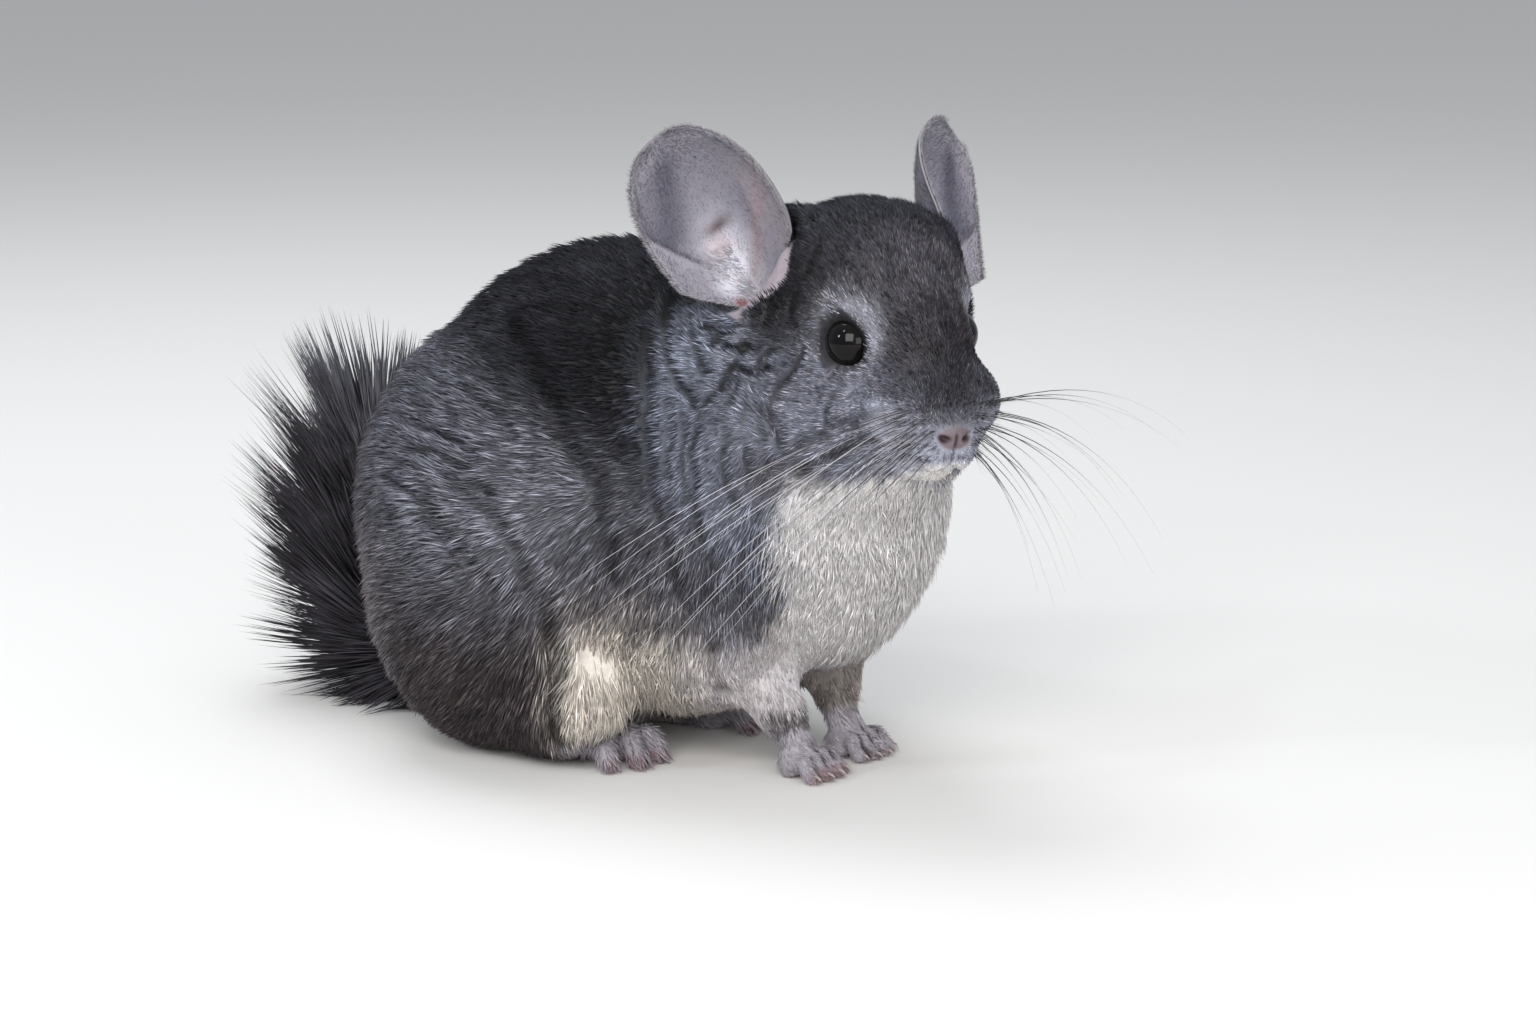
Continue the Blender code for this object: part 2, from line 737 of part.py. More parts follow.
def build_tail(name, first, last, rows, body, draw):
    """A length of the tail: a slim core, and locks that fan out from it towards the tip."""
    bone = tail_bone()
    steps = len(bone) - 1
    low, high = round(first * steps), round(last * steps)
    core_line = bone[low : high + 1]
    radii = [TAIL_CORE * (1 - 0.55 * (low + i) / steps) for i in range(len(core_line))]
    core = tube(core_line, radii, 12)
    frames = ring_frames(bone)
    locks = []
    for row in range(rows):
        share = first + (last - first) * (row + 0.5) / rows
        spot = share * steps
        index = min(int(spot), steps - 1)
        root = bone[index].lerp(bone[index + 1], spot - index)
        tangent, side, up = frames[index]
        length = TAIL_HAIR * (0.78 + 0.34 * share)
        for k in range(TAIL_AROUND):
            angle = math.tau * (k + 0.5 * (row % 2) + draw.uniform(-0.2, 0.2)) / TAIL_AROUND
            out = math.cos(angle) * side + math.sin(angle) * up
            lean = TAIL_LEAN * (1 - 0.35 * share) * draw.uniform(0.85, 1.15)
            start = tangent * math.cos(lean) + out * math.sin(lean)
            reach = length * draw.uniform(0.85, 1.12)
            line = []
            for step in range(LOCK_STEPS + 1):
                t = step / LOCK_STEPS
                curve = out * (-0.12 * t * t) + tangent * (0.14 * t * t)
                point = root + (start * t + curve) * reach
                point.z = max(point.z, FLOOR_CLEAR)
                line.append(point)
            locks.append(lock(line, LOCK_WIDE * draw.uniform(0.85, 1.15), LOCK_THICK, out.cross(tangent).cross(start)))
    boolean(core, locks, "UNION", TAIL_SOLVER)
    flattened(core, 0.0006)
    core.name = name
    return core


# ---------------------------------------------------------------- parting the body


def half_space(point, normal, shift=0.0):
    """A big box whose face lies on a plane; the box is on the side that the normal points to."""
    size = 0.5
    normal = normal.normalized()
    bm = bmesh.new()
    bmesh.ops.create_cube(bm, size=size)
    turn = Vector((0, 0, 1)).rotation_difference(normal).to_matrix().to_4x4()
    place = Matrix.Translation(point + normal * (size / 2 - shift)) @ turn
    bmesh.ops.transform(bm, matrix=place, verts=bm.verts)
    return object_from("half_space", bm)


def copy_of(obj, name):
    copy = obj.copy()
    copy.data = obj.data.copy()
    copy.name = name
    bpy.context.scene.collection.objects.link(copy)
    return copy


def part_off(body, name, region, wider):
    """Takes what lies in a region off the body as its own node, and leaves a gap behind it."""
    piece = boolean(copy_of(body, name), [region], "INTERSECT")
    boolean(body, [wider], "DIFFERENCE")
    return piece


def limb_regions(kind, side):
    centre, semi, turn = LIMBS[kind]
    middle = FRONT_Y if kind == "foreleg" else 0
    centre = Vector((centre[0], middle + side * centre[1], centre[2]))
    turn = (side * turn[0], turn[1], side * turn[2])
    wider = tuple(axis + GAP for axis in semi)
    return ellipsoid(centre, semi, turn, None, 16, 8), ellipsoid(centre, wider, turn, None, 16, 8)


def part_body(body):
    """The body as torso, neck, head, thighs and forelegs."""
    nodes = []
    head = head_matrix()
    turn = head.to_3x3()
    for name, (point, normal) in CUTS.items():
        point, normal = head @ Vector(point), turn @ Vector(normal)
        nodes.append(part_off(body, name, half_space(point, normal), half_space(point, normal, GAP)))
    for kind in LIMBS:
        for side, hand in ((-1, "right"), (1, "left")):
            nodes.append(part_off(body, f"{kind}_{hand}", *limb_regions(kind, side)))
    body.name = "torso"
    return [body, *nodes]


# ---------------------------------------------------------------- main


def finish(obj, slot):
    obj.data.materials.clear()
    obj.data.materials.append(material(slot))
    obj.data.shade_smooth()
    obj.data.set_sharp_from_angle(angle=math.radians(50))


def settle(nodes):
    """Hangs every node on one empty, moved so that the world's origin is under the model's middle."""
    corners = [vertex.co for node in nodes for vertex in node.data.vertices]
    low = [min(corner[axis] for corner in corners) for axis in range(3)]
    high = [max(corner[axis] for corner in corners) for axis in range(3)]
    stand = bpy.data.objects.new("chinchilla", None)
    stand.location = (-(low[0] + high[0]) / 2, -(low[1] + high[1]) / 2, -low[2])
    bpy.context.scene.collection.objects.link(stand)
    for node in nodes:
        node.parent = stand


def main():
    discard(list(bpy.data.objects))
    draw = random.Random(SEED)
    body = add_face(build_body())
    paws = []
    for side, hand in ((-1, "right"), (1, "left")):
        paws.append(build_forepaw(f"forepaw_{hand}", side))
        paws.append(build_hind_foot(f"hind_foot_{hand}", side))
    trimmed(body, *paws)
    limbs = [(paw, "paw") for paw in paws]
    for side, hand in ((-1, "right"), (1, "left")):
        limbs.append((build_ear(f"ear_{hand}", side, body), "ear"))
        eye = ellipsoid(eye_place(side), (EYE_RADIUS,) * 3, (0, 0, 0), head_matrix(), 16, 10)
        eye.name = f"eye_{hand}"
        limbs.append((eye, "eye"))
    for side, hand in ((-1, "right"), (1, "left")):
        limbs.append((build_whiskers(f"whiskers_{hand}", side, body), "coat"))
    tail = [
        build_tail(f"tail_{name}", first, last, rows, body, draw)
        for name, first, last, rows in TAIL_LENGTHS
    ]
    for i, node in enumerate(tail):
        trimmed(node, body, *tail[i + 1 : i + 2], solver=TAIL_SOLVER)
    coated = part_body(body)
    for node in coated:
        finish(node, "coat")
    for node in tail:
        finish(node, "tail")
    for node, slot in limbs:
        finish(node, slot)
    settle([*coated, *tail, *(node for node, _ in limbs)])


main()
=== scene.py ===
import json
import math

import bmesh
import bpy
import numpy as np
from mathutils import Matrix, Vector
from mathutils.bvhtree import BVHTree
from mathutils.kdtree import KDTree

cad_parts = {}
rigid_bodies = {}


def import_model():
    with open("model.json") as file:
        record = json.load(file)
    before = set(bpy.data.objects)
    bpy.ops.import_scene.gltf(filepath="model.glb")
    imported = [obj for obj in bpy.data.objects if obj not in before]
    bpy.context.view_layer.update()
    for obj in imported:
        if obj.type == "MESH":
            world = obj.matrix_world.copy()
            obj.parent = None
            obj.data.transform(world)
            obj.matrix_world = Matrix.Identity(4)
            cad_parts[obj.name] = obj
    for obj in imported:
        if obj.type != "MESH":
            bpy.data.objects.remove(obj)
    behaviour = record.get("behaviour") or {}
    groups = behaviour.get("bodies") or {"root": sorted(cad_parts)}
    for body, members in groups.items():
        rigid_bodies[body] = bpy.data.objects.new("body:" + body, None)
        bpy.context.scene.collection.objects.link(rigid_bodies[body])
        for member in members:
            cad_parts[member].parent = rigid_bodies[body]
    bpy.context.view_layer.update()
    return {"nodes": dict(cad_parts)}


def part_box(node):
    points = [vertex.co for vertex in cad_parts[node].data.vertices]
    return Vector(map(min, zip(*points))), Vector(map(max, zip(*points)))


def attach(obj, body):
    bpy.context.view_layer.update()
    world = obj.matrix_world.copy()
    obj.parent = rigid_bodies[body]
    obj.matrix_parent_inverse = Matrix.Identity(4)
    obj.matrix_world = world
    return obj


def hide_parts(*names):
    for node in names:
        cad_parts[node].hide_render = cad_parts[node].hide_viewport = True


# A grey chinchilla on all fours: one skin over the flesh, a coat of solid tufts, eyes, ears, claws,
# whiskers and a plumed tail. Lengths are in metres unless a name says mm.

for leftover in list(bpy.data.objects):
    bpy.data.objects.remove(leftover)
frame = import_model()
draw = np.random.default_rng(11)
sides = {"right": -1, "left": 1}

# ---- where the animal stands

headTurn = {"yawDeg": -27, "pitchDeg": 14, "eyeForward": 0.0010}  # the head's turn in the solids
bodyToHead = np.array((0.0752, -0.0090, 0.1172))  # from the point between the feet to the head's middle


def middleOf(node):
    low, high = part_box(node)
    return (low + high) / 2


eyeMiddles = {side: np.array(middleOf("eye_" + hand)) for hand, side in sides.items()}
eyeRadius = (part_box("eye_right")[1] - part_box("eye_right")[0]).x / 2
headAxes = np.array(
    Matrix.Rotation(math.radians(headTurn["yawDeg"]), 3, "Z")
    @ Matrix.Rotation(math.radians(headTurn["pitchDeg"]), 3, "Y")
)
headMiddle = (eyeMiddles[-1] + eyeMiddles[1]) / 2 - headAxes @ np.array((headTurn["eyeForward"], 0, 0))
bodyMiddle = headMiddle - bodyToHead


def fromHead(points):
    return np.asarray(points, float) @ headAxes.T + headMiddle


def toHead(points):
    return (points - headMiddle) @ headAxes


def mirrored(point, side):
    return np.array((point[0], point[1] * side, point[2]))


# ---- small tools


def smoothStep(low, high, value):
    t = np.clip((value - low) / (high - low), 0, 1)
    return t * t * (3 - 2 * t)


def bell(distance, width):
    return np.exp(-((distance / width) ** 2))


def mix(colour, other, share):
    share = np.asarray(share)[..., None]
    return colour * (1 - share) + other * share


def layered(colour, tones, layers):
    # named tones, painted one over the other, each with its share
    for name, share in layers:
        colour = mix(colour, tones[name], share)
    return colour


def blob(points, middle, scale, width):
    # 1 at a spot, fading away from it over a width, with each axis scaled
    return bell(np.linalg.norm((points - middle) * scale, axis=1), width)


def tone(red, green, blue):
    value = np.array((red, green, blue)) / 255
    return np.where(value <= 0.04045, value / 12.92, ((value + 0.055) / 1.055) ** 2.4)


def unit(vectors):
    return vectors / np.maximum(np.linalg.norm(vectors, axis=-1, keepdims=True), 1e-12)


def across(vectors, normals):
    return unit(vectors - normals * (vectors * normals).sum(-1, keepdims=True))


def lumps(points, size, seed=0):
    # a smooth random field from -1 to 1, with lumps of a given size
    place = np.asarray(points, float) / size + seed * 17.31 + 100
    cell = np.floor(place).astype(np.int64)
    part = place - cell
    part = part * part * (3 - 2 * part)
    total = np.zeros(len(place))
    for corner in np.ndindex(2, 2, 2):
        spot = cell + corner
        code = (spot[:, 0] * 374761393 + spot[:, 1] * 668265263 + spot[:, 2] * 1440662683 + seed * 97) & 0xFFFFFFFF
        code = ((code ^ (code >> 13)) * 1274126177) & 0xFFFFFFFF
        value = ((code ^ (code >> 16)) & 0xFFFF) / 32767.5 - 1
        total += value * np.prod(np.where(corner, part, 1 - part), axis=1)
    return total


def drift(points, size, seed):
    # three such fields, one for each axis
    return np.column_stack([lumps(points, size, seed + axis) for axis in range(3)])


def streaksAt(points, lies, wide, long, seed):
    # a random field from -1 to 1 in streaks that run the way the hair lies
    ways = [(1, 0, 0), (0, 1, 0), (0, 0, 1), (1, 0, 1), (1, 0, -1), (1, 1, 0), (1, -1, 0), (0, 1, 1), (0, 1, -1)]
    total, weight = np.zeros(len(points)), np.zeros(len(points))
    for i, way in enumerate(ways):
        way = unit(np.array(way, float))
        share = np.abs(lies @ way) ** 10
        along = (points @ way)[:, None] * way
        total += share * lumps((points - along) / wide + along / long, 1.0, seed + i)
        weight += share
    return total / weight


def whiteness(colours):
    return smoothStep(0.25, 0.6, colours.mean(1))


def nearestTree(spots):
    tree = KDTree(len(spots))
    for i, spot in enumerate(spots):
        tree.insert(spot, i)
    tree.balance()
    return tree


def addObject(name, data):
    made = bpy.data.objects.new(name, data)
    bpy.context.scene.collection.objects.link(made)
    return made


def meshObject(name, points, faces):
    mesh = bpy.data.meshes.new(name)
    mesh.vertices.add(len(points))
    mesh.vertices.foreach_set("co", np.asarray(points, np.float32).ravel())
    mesh.loops.add(faces.size)
    mesh.loops.foreach_set("vertex_index", faces.astype(np.int32).ravel())
    mesh.polygons.add(len(faces))
    mesh.polygons.foreach_set("loop_start", np.arange(0, faces.size, faces.shape[1], dtype=np.int32))
    mesh.update(calc_edges=True)
    mesh.shade_smooth()
    return addObject(name, mesh)


def bmeshObject(name, bm):
    mesh = bpy.data.meshes.new(name)
    bm.to_mesh(mesh)
    bm.free()
    return addObject(name, mesh)


def editMesh(piece, change):
    bm = bmesh.new()
    bm.from_mesh(piece.data)
    change(bm)
    bm.to_mesh(piece.data)
    bm.free()


def treeOf(piece):
    bm = bmesh.new()
    bm.from_mesh(piece.data)
    tree = BVHTree.FromBMesh(bm)
    bm.free()
    return tree


def modify(piece, kind, **values):
    made = piece.modifiers.new(kind.lower(), kind)
    for name, value in values.items():
        setattr(made, name, value)
    return made


def applied(piece):
    graph = bpy.context.evaluated_depsgraph_get()
    mesh = bpy.data.meshes.new_from_object(piece.evaluated_get(graph))
    piece.modifiers.clear()
    piece.data = mesh
    return piece


def readPoints(piece, name):
    values = np.empty(len(piece.data.vertices) * 3, np.float32)
    piece.data.vertices.foreach_get(name, values)
    return values.reshape(-1, 3).astype(float)


def pointsOf(piece):
    return readPoints(piece, "co")


def normalsOf(piece):
    return readPoints(piece, "normal")


def movePoints(piece, points):
    piece.data.vertices.foreach_set("co", np.asarray(points, np.float32).ravel())
    piece.data.update()


def paintPoints(piece, name, values, kind="FLOAT_COLOR"):
    attribute = piece.data.attributes.new(name, kind, "POINT")
    if kind == "FLOAT_COLOR":
        values = np.column_stack((values, np.ones(len(values))))
    field = {"FLOAT_COLOR": "color", "FLOAT_VECTOR": "vector", "FLOAT": "value"}[kind]
    attribute.data.foreach_set(field, np.asarray(values, np.float32).ravel())


def eyeGapAt(points):
    # the distance to the middle of the nearer eye
    return np.minimum(*(np.linalg.norm(points - eyeMiddles[side], axis=1) for side in (-1, 1)))


def toLines(points, lines):
    # the distance from each point to the nearest of some lines
    nearest = np.full(len(points), 1.0)
    for line in lines:
        for start, end in zip(line[:-1], line[1:]):
            along = end - start
            share = np.clip(((points - start) @ along) / max(along @ along, 1e-12), 0, 1)
            gap = points - start - share[:, None] * along
            nearest = np.minimum(nearest, np.sqrt((gap * gap).sum(1)))
    return nearest


# ---- materials

def addSockets(tree, way, sockets):
    for name, kind in sockets.items():
        tree.interface.new_socket(name, in_out=way, socket_type="NodeSocket" + kind)


def setStops(ramp, stops):
    while len(ramp.elements) < len(stops):
        ramp.elements.new(0.5)
    for element, (place, colour) in zip(ramp.elements, stops):
        element.position = place
        element.color = (*colour, 1)


def wire(tree, nodes, links, **made):
    # nodes by name, each with its kind, settings and inputs, then links from an output to an input
    for name, (kind, settings, values) in nodes.items():
        made[name] = node = tree.nodes.new(kind)
        for key, value in settings.items():
            if key == "stops":
                setStops(node.color_ramp, value)
            else:
                setattr(node, key, value)
        for key, value in values.items():
            node.inputs[key].default_value = value
    pick = lambda sockets, key: sockets[int(key) if key.isdigit() else key]
    for link in links:
        (start, output), (end, entry) = (spot.split(".") for spot in link.split(" > "))
        tree.links.new(pick(made[start].outputs, output), pick(made[end].inputs, entry))


def makeHairStrands():
    # fine strands along a tuft, streaked across it, with no two tufts alike
    group = bpy.data.node_groups.new("hairStrands", "ShaderNodeTree")
    addSockets(group, "INPUT", {"Strands": "Float", "Contrast": "Float"})
    addSockets(group, "OUTPUT", {"Colour": "Color", "Roughness": "Float", "Height": "Float"})
    wire(group, {
        "inputs": ("NodeGroupInput", {}, {}),
        "outputs": ("NodeGroupOutput", {}, {}),
        "place": ("ShaderNodeAttribute", {"attribute_name": "hairPlace"}, {}),
        "colour": ("ShaderNodeAttribute", {"attribute_name": "coatColour"}, {}),
        "split": ("ShaderNodeSeparateXYZ", {}, {}),
        "wide": ("ShaderNodeMath", {"operation": "MULTIPLY"}, {}),
        "seed": ("ShaderNodeMath", {"operation": "MULTIPLY_ADD"}, {1: 91.7}),
        "ticks": ("ShaderNodeMath", {"operation": "MULTIPLY"}, {1: 2.2}),  # light and dark bands along each hair
        "spot": ("ShaderNodeCombineXYZ", {}, {}),
        "streak": ("ShaderNodeTexNoise", {}, {"Scale": 1.0, "Detail": 2.0}),
        "low": ("ShaderNodeMath", {"operation": "SUBTRACT"}, {0: 1.0}),
        "high": ("ShaderNodeMath", {"operation": "ADD"}, {0: 1.0}),
        "light": ("ShaderNodeMapRange", {}, {"From Min": 0.3, "From Max": 0.7}),
        "shade": ("ShaderNodeVectorMath", {"operation": "SCALE"}, {}),
        "rough": ("ShaderNodeMapRange", {}, {"To Min": 0.52, "To Max": 0.78}),
    }, (
        "place.Vector > split.0", "split.X > wide.0", "inputs.Strands > wide.1", "split.Z > seed.0",
        "wide.0 > seed.2", "split.Y > ticks.0", "seed.0 > spot.X", "ticks.0 > spot.Y", "split.Z > spot.Z",
        "spot.0 > streak.Vector", "inputs.Contrast > low.1", "inputs.Contrast > high.1",
        "streak.Fac > light.Value", "low.0 > light.To Min", "high.0 > light.To Max", "colour.Color > shade.0",
        "light.0 > shade.Scale", "streak.Fac > rough.Value", "shade.0 > outputs.Colour",
        "rough.0 > outputs.Roughness", "streak.Fac > outputs.Height",
    ))
    return group


hairStrands = makeHairStrands()


def makeMaterial(name, values, nodes=(), links=()):
    made = bpy.data.materials.new(name)
    made.use_nodes = True
    shader = made.node_tree.nodes["Principled BSDF"]
    for key, value in values.items():
        shader.inputs[key].default_value = value
    wire(made.node_tree, dict(nodes), links, shader=shader)
    return made


def makeHair(name, strands, contrast, specular):
    return makeMaterial(name, {"Specular IOR Level": specular}, {
        "strand": ("ShaderNodeGroup", {"node_tree": hairStrands}, {"Strands": strands, "Contrast": contrast}),
        "relief": ("ShaderNodeBump", {}, {"Strength": 0.25, "Distance": 0.0001}),
    }, (
        "strand.Colour > shader.Base Color", "strand.Roughness > shader.Roughness", "strand.Height > relief.Height",
        "relief.0 > shader.Normal",
    ))


def makeSkinFinish(name, cells, bump, rough, specular, subsurface):
    # skin: its painted colour, mottled a little, with a fine leathery grain
    return makeMaterial(name, {
        "Specular IOR Level": specular, "Subsurface Weight": subsurface,
        "Subsurface Radius": (0.0012, 0.0006, 0.0005), "Subsurface Scale": 1.0,
    }, {
        "colour": ("ShaderNodeAttribute", {"attribute_name": "coatColour"}, {}),
        "where": ("ShaderNodeTexCoord", {}, {}),
        "mottle": ("ShaderNodeTexNoise", {}, {"Scale": cells * 0.3, "Detail": 4}),
        "tint": ("ShaderNodeMapRange", {}, {"To Min": 0.75, "To Max": 1.2}),
        "shade": ("ShaderNodeVectorMath", {"operation": "SCALE"}, {}),
        "grain": ("ShaderNodeTexVoronoi", {}, {"Scale": cells}),
        "relief": ("ShaderNodeBump", {}, {"Strength": bump, "Distance": 0.0002}),
        "roughness": ("ShaderNodeMapRange", {}, {"To Min": rough - 0.1, "To Max": rough + 0.1}),
    }, (
        "where.Object > mottle.Vector", "mottle.Fac > tint.Value", "colour.Color > shade.0", "tint.0 > shade.Scale",
        "shade.0 > shader.Base Color", "where.Object > grain.Vector", "grain.Distance > relief.Height",
        "relief.0 > shader.Normal", "mottle.Fac > roughness.Value", "roughness.0 > shader.Roughness",
    ))


coatHair = makeHair("coatHair", 4.0, 0.42, 0.12)
tailHair = makeHair("tailHair", 5.0, 0.40, 0.20)
skinLeather = makeSkinFinish("skinLeather", 2600, 0.35, 0.55, 0.30, 0.0)
earLeather = makeSkinFinish("earLeather", 1500, 0.25, 0.55, 0.25, 0.25)
# a wet black-brown eye: pupil, dark iris and a clear front
eyeWet = makeMaterial("eyeWet", {
    "Roughness": 0.10, "Specular IOR Level": 0.12, "Coat Weight": 0.32, "Coat IOR": 1.33, "Coat Roughness": 0.02,
}, {
    "angle": ("ShaderNodeAttribute", {"attribute_name": "fromPupil"}, {}),
    "ramp": ("ShaderNodeValToRGB", {"stops": (
        (0.00, (0.0015, 0.0015, 0.0020)), (0.28, (0.0015, 0.0015, 0.0020)), (0.34, (0.0050, 0.0038, 0.0036)),
        (0.50, (0.0035, 0.0028, 0.0028)), (0.60, (0.0015, 0.0015, 0.0020)), (1.00, (0.0030, 0.0030, 0.0040)),
    )}, {}),
}, ("angle.Fac > ramp.Fac", "ramp.Color > shader.Base Color"))
# horn with long pale streaks
clawHorn = makeMaterial("clawHorn", {"Roughness": 0.35}, {
    "where": ("ShaderNodeTexCoord", {}, {}),
    "noise": ("ShaderNodeTexNoise", {}, {"Scale": 900, "Detail": 3}),
    "ramp": ("ShaderNodeValToRGB", {"stops": ((0, tone(96, 84, 82)), (1, tone(188, 176, 170)))}, {}),
    "relief": ("ShaderNodeBump", {}, {"Strength": 0.2, "Distance": 0.0001}),
}, (
    "where.Object > noise.Vector", "noise.Fac > ramp.Fac", "ramp.Color > shader.Base Color",
    "noise.Fac > relief.Height", "relief.0 > shader.Normal",
))
# whiskers are dark near the lip and pale towards the end
whiskerHair = makeMaterial("whiskerHair", {"Roughness": 0.35}, {
    "along": ("ShaderNodeAttribute", {"attribute_name": "whiskerAlong"}, {}),
    "ramp": ("ShaderNodeValToRGB", {"stops": ((0.22, tone(26, 25, 29)), (0.52, tone(200, 198, 200)))}, {}),
}, ("along.Fac > ramp.Fac", "ramp.Color > shader.Base Color"))
print("materials made")

# ---- how the coat lies: place on the right side, the way the hair points, length in mm, lift in degrees

bodyCoat = {
    "nape": ((0.040, 0.000, 0.133), (-1.0, 0.0, 0.05), 7.0, 20),
    "withers": ((0.012, 0.000, 0.134), (-1.0, 0.0, -0.05), 8.0, 18),
    "back": ((-0.030, 0.000, 0.132), (-1.0, 0.0, -0.15), 8.0, 18),
    "rumpTop": ((-0.070, 0.000, 0.112), (-0.7, 0.0, -0.6), 8.5, 20),
    "rumpBack": ((-0.096, 0.000, 0.070), (-0.2, 0.0, -1.0), 9.0, 22),
    "rumpLow": ((-0.090, 0.000, 0.030), (-0.4, 0.0, -1.0), 9.0, 25),
    "shoulder": ((0.020, -0.044, 0.090), (-1.0, 0.0, -0.30), 7.5, 18),
    "neckSide": ((0.034, -0.042, 0.088), (-0.8, 0.0, -0.60), 4.4, 17),
    "neckBack": ((0.026, -0.036, 0.106), (-0.9, 0.0, -0.40), 4.6, 17),
    "ribs": ((-0.005, -0.048, 0.085), (-1.0, 0.0, 0.00), 8.0, 19),
    "haunchTop": ((-0.040, -0.050, 0.090), (-1.0, 0.0, 0.25), 8.5, 20),
    "haunchMiddle": ((-0.040, -0.057, 0.060), (-1.0, 0.0, -0.30), 8.5, 22),
    "haunchLow": ((-0.030, -0.057, 0.025), (-0.7, 0.0, -0.70), 8.0, 22),
    "haunchBack": ((-0.075, -0.035, 0.050), (-0.9, 0.0, -0.55), 9.0, 22),
    "thighFront": ((-0.006, -0.050, 0.050), (-0.8, 0.0, -0.60), 8.0, 20),
    "flankLow": ((0.010, -0.045, 0.052), (-0.5, 0.0, -0.90), 8.5, 20),
    "bellySide": ((0.010, -0.040, 0.030), (-0.10, 0.0, -1.0), 15.5, 14),
    "bellyEdge": ((0.014, -0.034, 0.021), (-0.05, 0.0, -1.0), 16.5, 15),
    "belly": ((0.000, 0.000, 0.012), (-0.5, 0.0, -0.60), 14.0, 42),
    "shin": ((-0.004, -0.034, 0.014), (0.1, 0.0, -1.0), 6.0, 18),
    "chest": ((0.072, 0.006, 0.070), (-0.1, -0.1, -1.0), 10.5, 22),
    "chestSide": ((0.055, -0.026, 0.062), (-0.3, 0.0, -1.0), 9.5, 20),
    "chestLow": ((0.060, 0.006, 0.045), (-0.3, 0.0, -1.0), 10.0, 24),
    "forelegTop": ((0.038, -0.030, 0.048), (-0.1, 0.0, -1.0), 7.0, 17),
    "forelegFront": ((0.045, -0.018, 0.030), (0.1, 0.0, -1.0), 5.0, 16),
    "wrist": ((0.038, -0.010, 0.016), (0.25, 0.0, -1.0), 5.2, 12),
    "forepaw": ((0.050, -0.007, 0.006), (1.0, 0.0, -0.35), 2.6, 12),
    "hindToes": ((-0.004, -0.025, 0.006), (1.0, -0.2, -0.30), 3.6, 12),
    "sole": ((-0.025, -0.020, 0.002), (-1.0, 0.0, 0.0), 2.0, 12),
}
headCoat = {
    "noseTop": ((0.030, 0.000, -0.006), (-1.0, 0.0, 0.60), 1.7, 16),
    "bridge": ((0.020, 0.000, 0.008), (-1.0, 0.0, 0.60), 2.4, 17),
    "forehead": ((0.006, 0.000, 0.019), (-1.0, 0.0, 0.45), 3.2, 18),
    "crown": ((-0.016, 0.000, 0.029), (-1.0, 0.0, -0.05), 4.2, 20),
    "brow": ((0.002, -0.014, 0.010), (-0.9, 0.1, 0.45), 2.4, 15),
    "behindEye": ((-0.008, -0.021, 0.000), (-1.0, 0.0, -0.10), 3.0, 16),
    "underEye": ((0.004, -0.019, -0.009), (-1.0, -0.1, -0.15), 2.6, 15),
    "muzzleSide": ((0.018, -0.013, -0.008), (-1.0, -0.3, -0.05), 2.1, 15),
    "upperLip": ((0.029, -0.006, -0.019), (-0.5, -0.6, -0.65), 1.9, 18),
    "pad": ((0.022, -0.012, -0.017), (-0.9, -0.3, -0.35), 2.1, 16),
    "cheek": ((-0.004, -0.028, -0.018), (-1.0, 0.0, -0.20), 4.2, 17),
    "jowl": ((0.002, -0.026, -0.034), (-0.8, 0.0, -0.60), 5.0, 18),
    "chin": ((0.022, 0.000, -0.031), (-0.5, 0.0, -1.0), 4.5, 24),
    "throat": ((0.004, 0.000, -0.040), (-0.3, 0.0, -1.0), 8.5, 24),
    "earFront": ((-0.020, -0.024, 0.006), (-0.9, -0.1, 0.30), 3.2, 18),
    "earBack": ((-0.034, -0.030, -0.004), (-1.0, -0.1, -0.20), 4.5, 20),
}
skinCut = {
    "coatShare": 0.58,  # how deep under the coat line the skin lies, as a share of the hair's height
    "guideSpread": 0.007,
    "short": 0.74,  # of the lengths above
    "stand": 7,  # degrees more than the lifts above
    "midline": 0.004,  # guides nearer the middle than this aren't mirrored
    "frontX": 0.03, "frontShift": 0.012,  # the chest and forefeet stand to the animal's left
}


def gatherGuides():
    places, lies, sizes = [], [], []
    for guides, outOf, turn in ((bodyCoat, bodyMiddle, np.eye(3)), (headCoat, headMiddle, headAxes)):
        for place, lie, length, lift in guides.values():
            for flip in (1, -1) if abs(place[1]) > skinCut["midline"] else (1,):
                spot = mirrored(place, flip)
                if turn is not headAxes and flip < 0 and place[0] > skinCut["frontX"]:
                    spot[1] += skinCut["frontShift"]
                places.append(outOf + turn @ spot)
                lies.append(unit(turn @ mirrored(lie, flip)))
                sizes.append((length * skinCut["short"] / 1000, math.radians(lift + skinCut["stand"])))
    return np.array(places), np.array(lies), np.array(sizes)


guidePlaces, guideLies, guideSizes = gatherGuides()


def coatAt(points, normals):
    # the way the hair lies, its length and its lift
    gaps = ((points[:, None, :] - guidePlaces[None]) ** 2).sum(2)
    weights = 1 / (gaps + skinCut["guideSpread"] ** 2) ** 2
    weights /= weights.sum(1, keepdims=True)
    lies = across(weights @ guideLies + 1e-5, normals)
    sizes = weights @ guideSizes
    return lies, sizes[:, 0], sizes[:, 1]


# ---- folds of the coat: lines on the right side, in mm, with how wide and how deep each is

